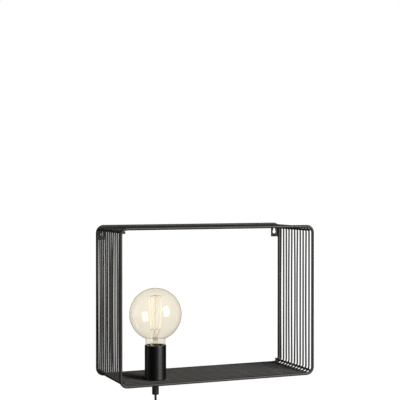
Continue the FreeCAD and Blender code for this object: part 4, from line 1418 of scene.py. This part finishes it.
class LAMP_OT_stage(bpy.types.Operator):
    """Build the floor, the even light, the lamps and the camera"""

    bl_idname = "lamp.stage"
    bl_label = "Studio"

    def execute(self, context):
        settings = context.scene.lamp_stage
        self.add_floor(settings)
        self.add_world(settings)
        add_softbox("key", KEY_PLACE, KEY_SIZE, settings.key_power)
        left = add_softbox("left_fill", LEFT_PLACE, LEFT_SIZE, settings.key_power * LEFT_SHARE)
        left.visible_transmission = False
        add_camera()
        context.scene.view_settings.view_transform = "Standard"
        return {"FINISHED"}

    def add_floor(self, settings):
        """A pale floor just below the plug. Gloss sees it nearly black."""
        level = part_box("plug_pin_left")[0].z - FLOOR_BELOW_PLUG
        turns = ((-1, -1), (1, -1), (1, 1), (-1, 1))
        corners = [(x * FLOOR_HALF, y * FLOOR_HALF, level) for x, y in turns]
        mesh = bpy.data.meshes.new("floor")
        mesh.from_pydata(corners, [], [(0, 1, 2, 3)])
        recipe = Recipe("floor")
        away = recipe.node("ShaderNodeVectorMath", {"operation": "LENGTH"}, {0: recipe.place()}, "Value")
        shade = smooth_share(recipe, away, FLOOR_SHADE)
        white = white_rays(recipe)
        glossy = ray_kind(recipe, "Is Glossy Ray")
        material = recipe.set(
            Base_Color=recipe.blend(glossy, rgba(settings.floor), rgba(settings.floor, settings.room)),
            Roughness=0.8,
            Specular_IOR_Level=0.0,
            Emission_Color=recipe.blend(white * shade, BLACK, WHITE),
            Emission_Strength=1.0,
        )
        mesh.materials.append(material)
        add_object("floor", mesh)

    def add_world(self, settings):
        """Even light from all sides. Glossy rays see a dim, warm backdrop behind the lamp and
        a darker room in front of it."""
        world = bpy.data.worlds.new("studio")
        bpy.context.scene.world = world
        world.use_nodes = True
        recipe = Recipe.of_tree(world.node_tree)
        direction = recipe.node("ShaderNodeTexCoord", {}, {}, "Generated")
        depth = recipe.node("ShaderNodeSeparateXYZ", {}, {"Vector": direction}, "Y")
        behind = smooth_share(recipe, depth, {"From Min": -0.1, "From Max": 0.6})
        glossy = ray_kind(recipe, "Is Glossy Ray")
        room = behind * (settings.backdrop - settings.room) + settings.room
        level = glossy * (room - settings.fill) + settings.fill
        white = white_rays(recipe)
        strength = white + (1 - white) * level
        background = world.node_tree.nodes["Background"]
        tint = recipe.blend(glossy, WHITE, rgba(settings.warmth))
        world.node_tree.links.new(tint.socket, background.inputs["Color"])
        world.node_tree.links.new(strength.socket, background.inputs["Strength"])


# -------- the add-on

PIECE_OPERATORS = (
    LAMP_OT_loops,
    LAMP_OT_rods,
    LAMP_OT_tabs,
    LAMP_OT_holder,
    LAMP_OT_bulb,
    LAMP_OT_switch,
    LAMP_OT_plug,
    LAMP_OT_cord,
    LAMP_OT_stage,
)
SETTINGS = {
    "lamp_frame": FrameSettings,
    "lamp_holder": HolderSettings,
    "lamp_bulb": BulbSettings,
    "lamp_cord": CordSettings,
    "lamp_stage": StageSettings,
}


class LAMP_PT_sidebar(bpy.types.Panel):
    """Lists the lamp's settings and the operators that build it"""

    bl_label = "Wall lamp"
    bl_idname = "LAMP_PT_sidebar"
    bl_space_type = "VIEW_3D"
    bl_region_type = "UI"
    bl_category = "Lamp"

    def draw(self, context):
        for name, group in SETTINGS.items():
            box = self.layout.box()
            settings = getattr(context.scene, name)
            for field in group.__annotations__:
                box.prop(settings, field)
        for operator in PIECE_OPERATORS:
            self.layout.operator(operator.bl_idname)


def register():
    for group in SETTINGS.values():
        bpy.utils.register_class(group)
    for name, group in SETTINGS.items():
        setattr(bpy.types.Scene, name, bpy.props.PointerProperty(type=group))
    for operator in PIECE_OPERATORS:
        bpy.utils.register_class(operator)
    bpy.utils.register_class(LAMP_PT_sidebar)


def unregister():
    bpy.utils.unregister_class(LAMP_PT_sidebar)
    for operator in reversed(PIECE_OPERATORS):
        bpy.utils.unregister_class(operator)
    for name in SETTINGS:
        delattr(bpy.types.Scene, name)
    for group in SETTINGS.values():
        bpy.utils.unregister_class(group)


def main():
    register()
    bpy.ops.lamp.loops()
    bpy.ops.lamp.rods()
    bpy.ops.lamp.tabs()
    bpy.ops.lamp.holder()
    bpy.ops.lamp.bulb()
    bpy.ops.lamp.switch()
    bpy.ops.lamp.plug()
    bpy.ops.lamp.cord()
    bpy.ops.lamp.stage()


if __name__ == "__main__":
    main()
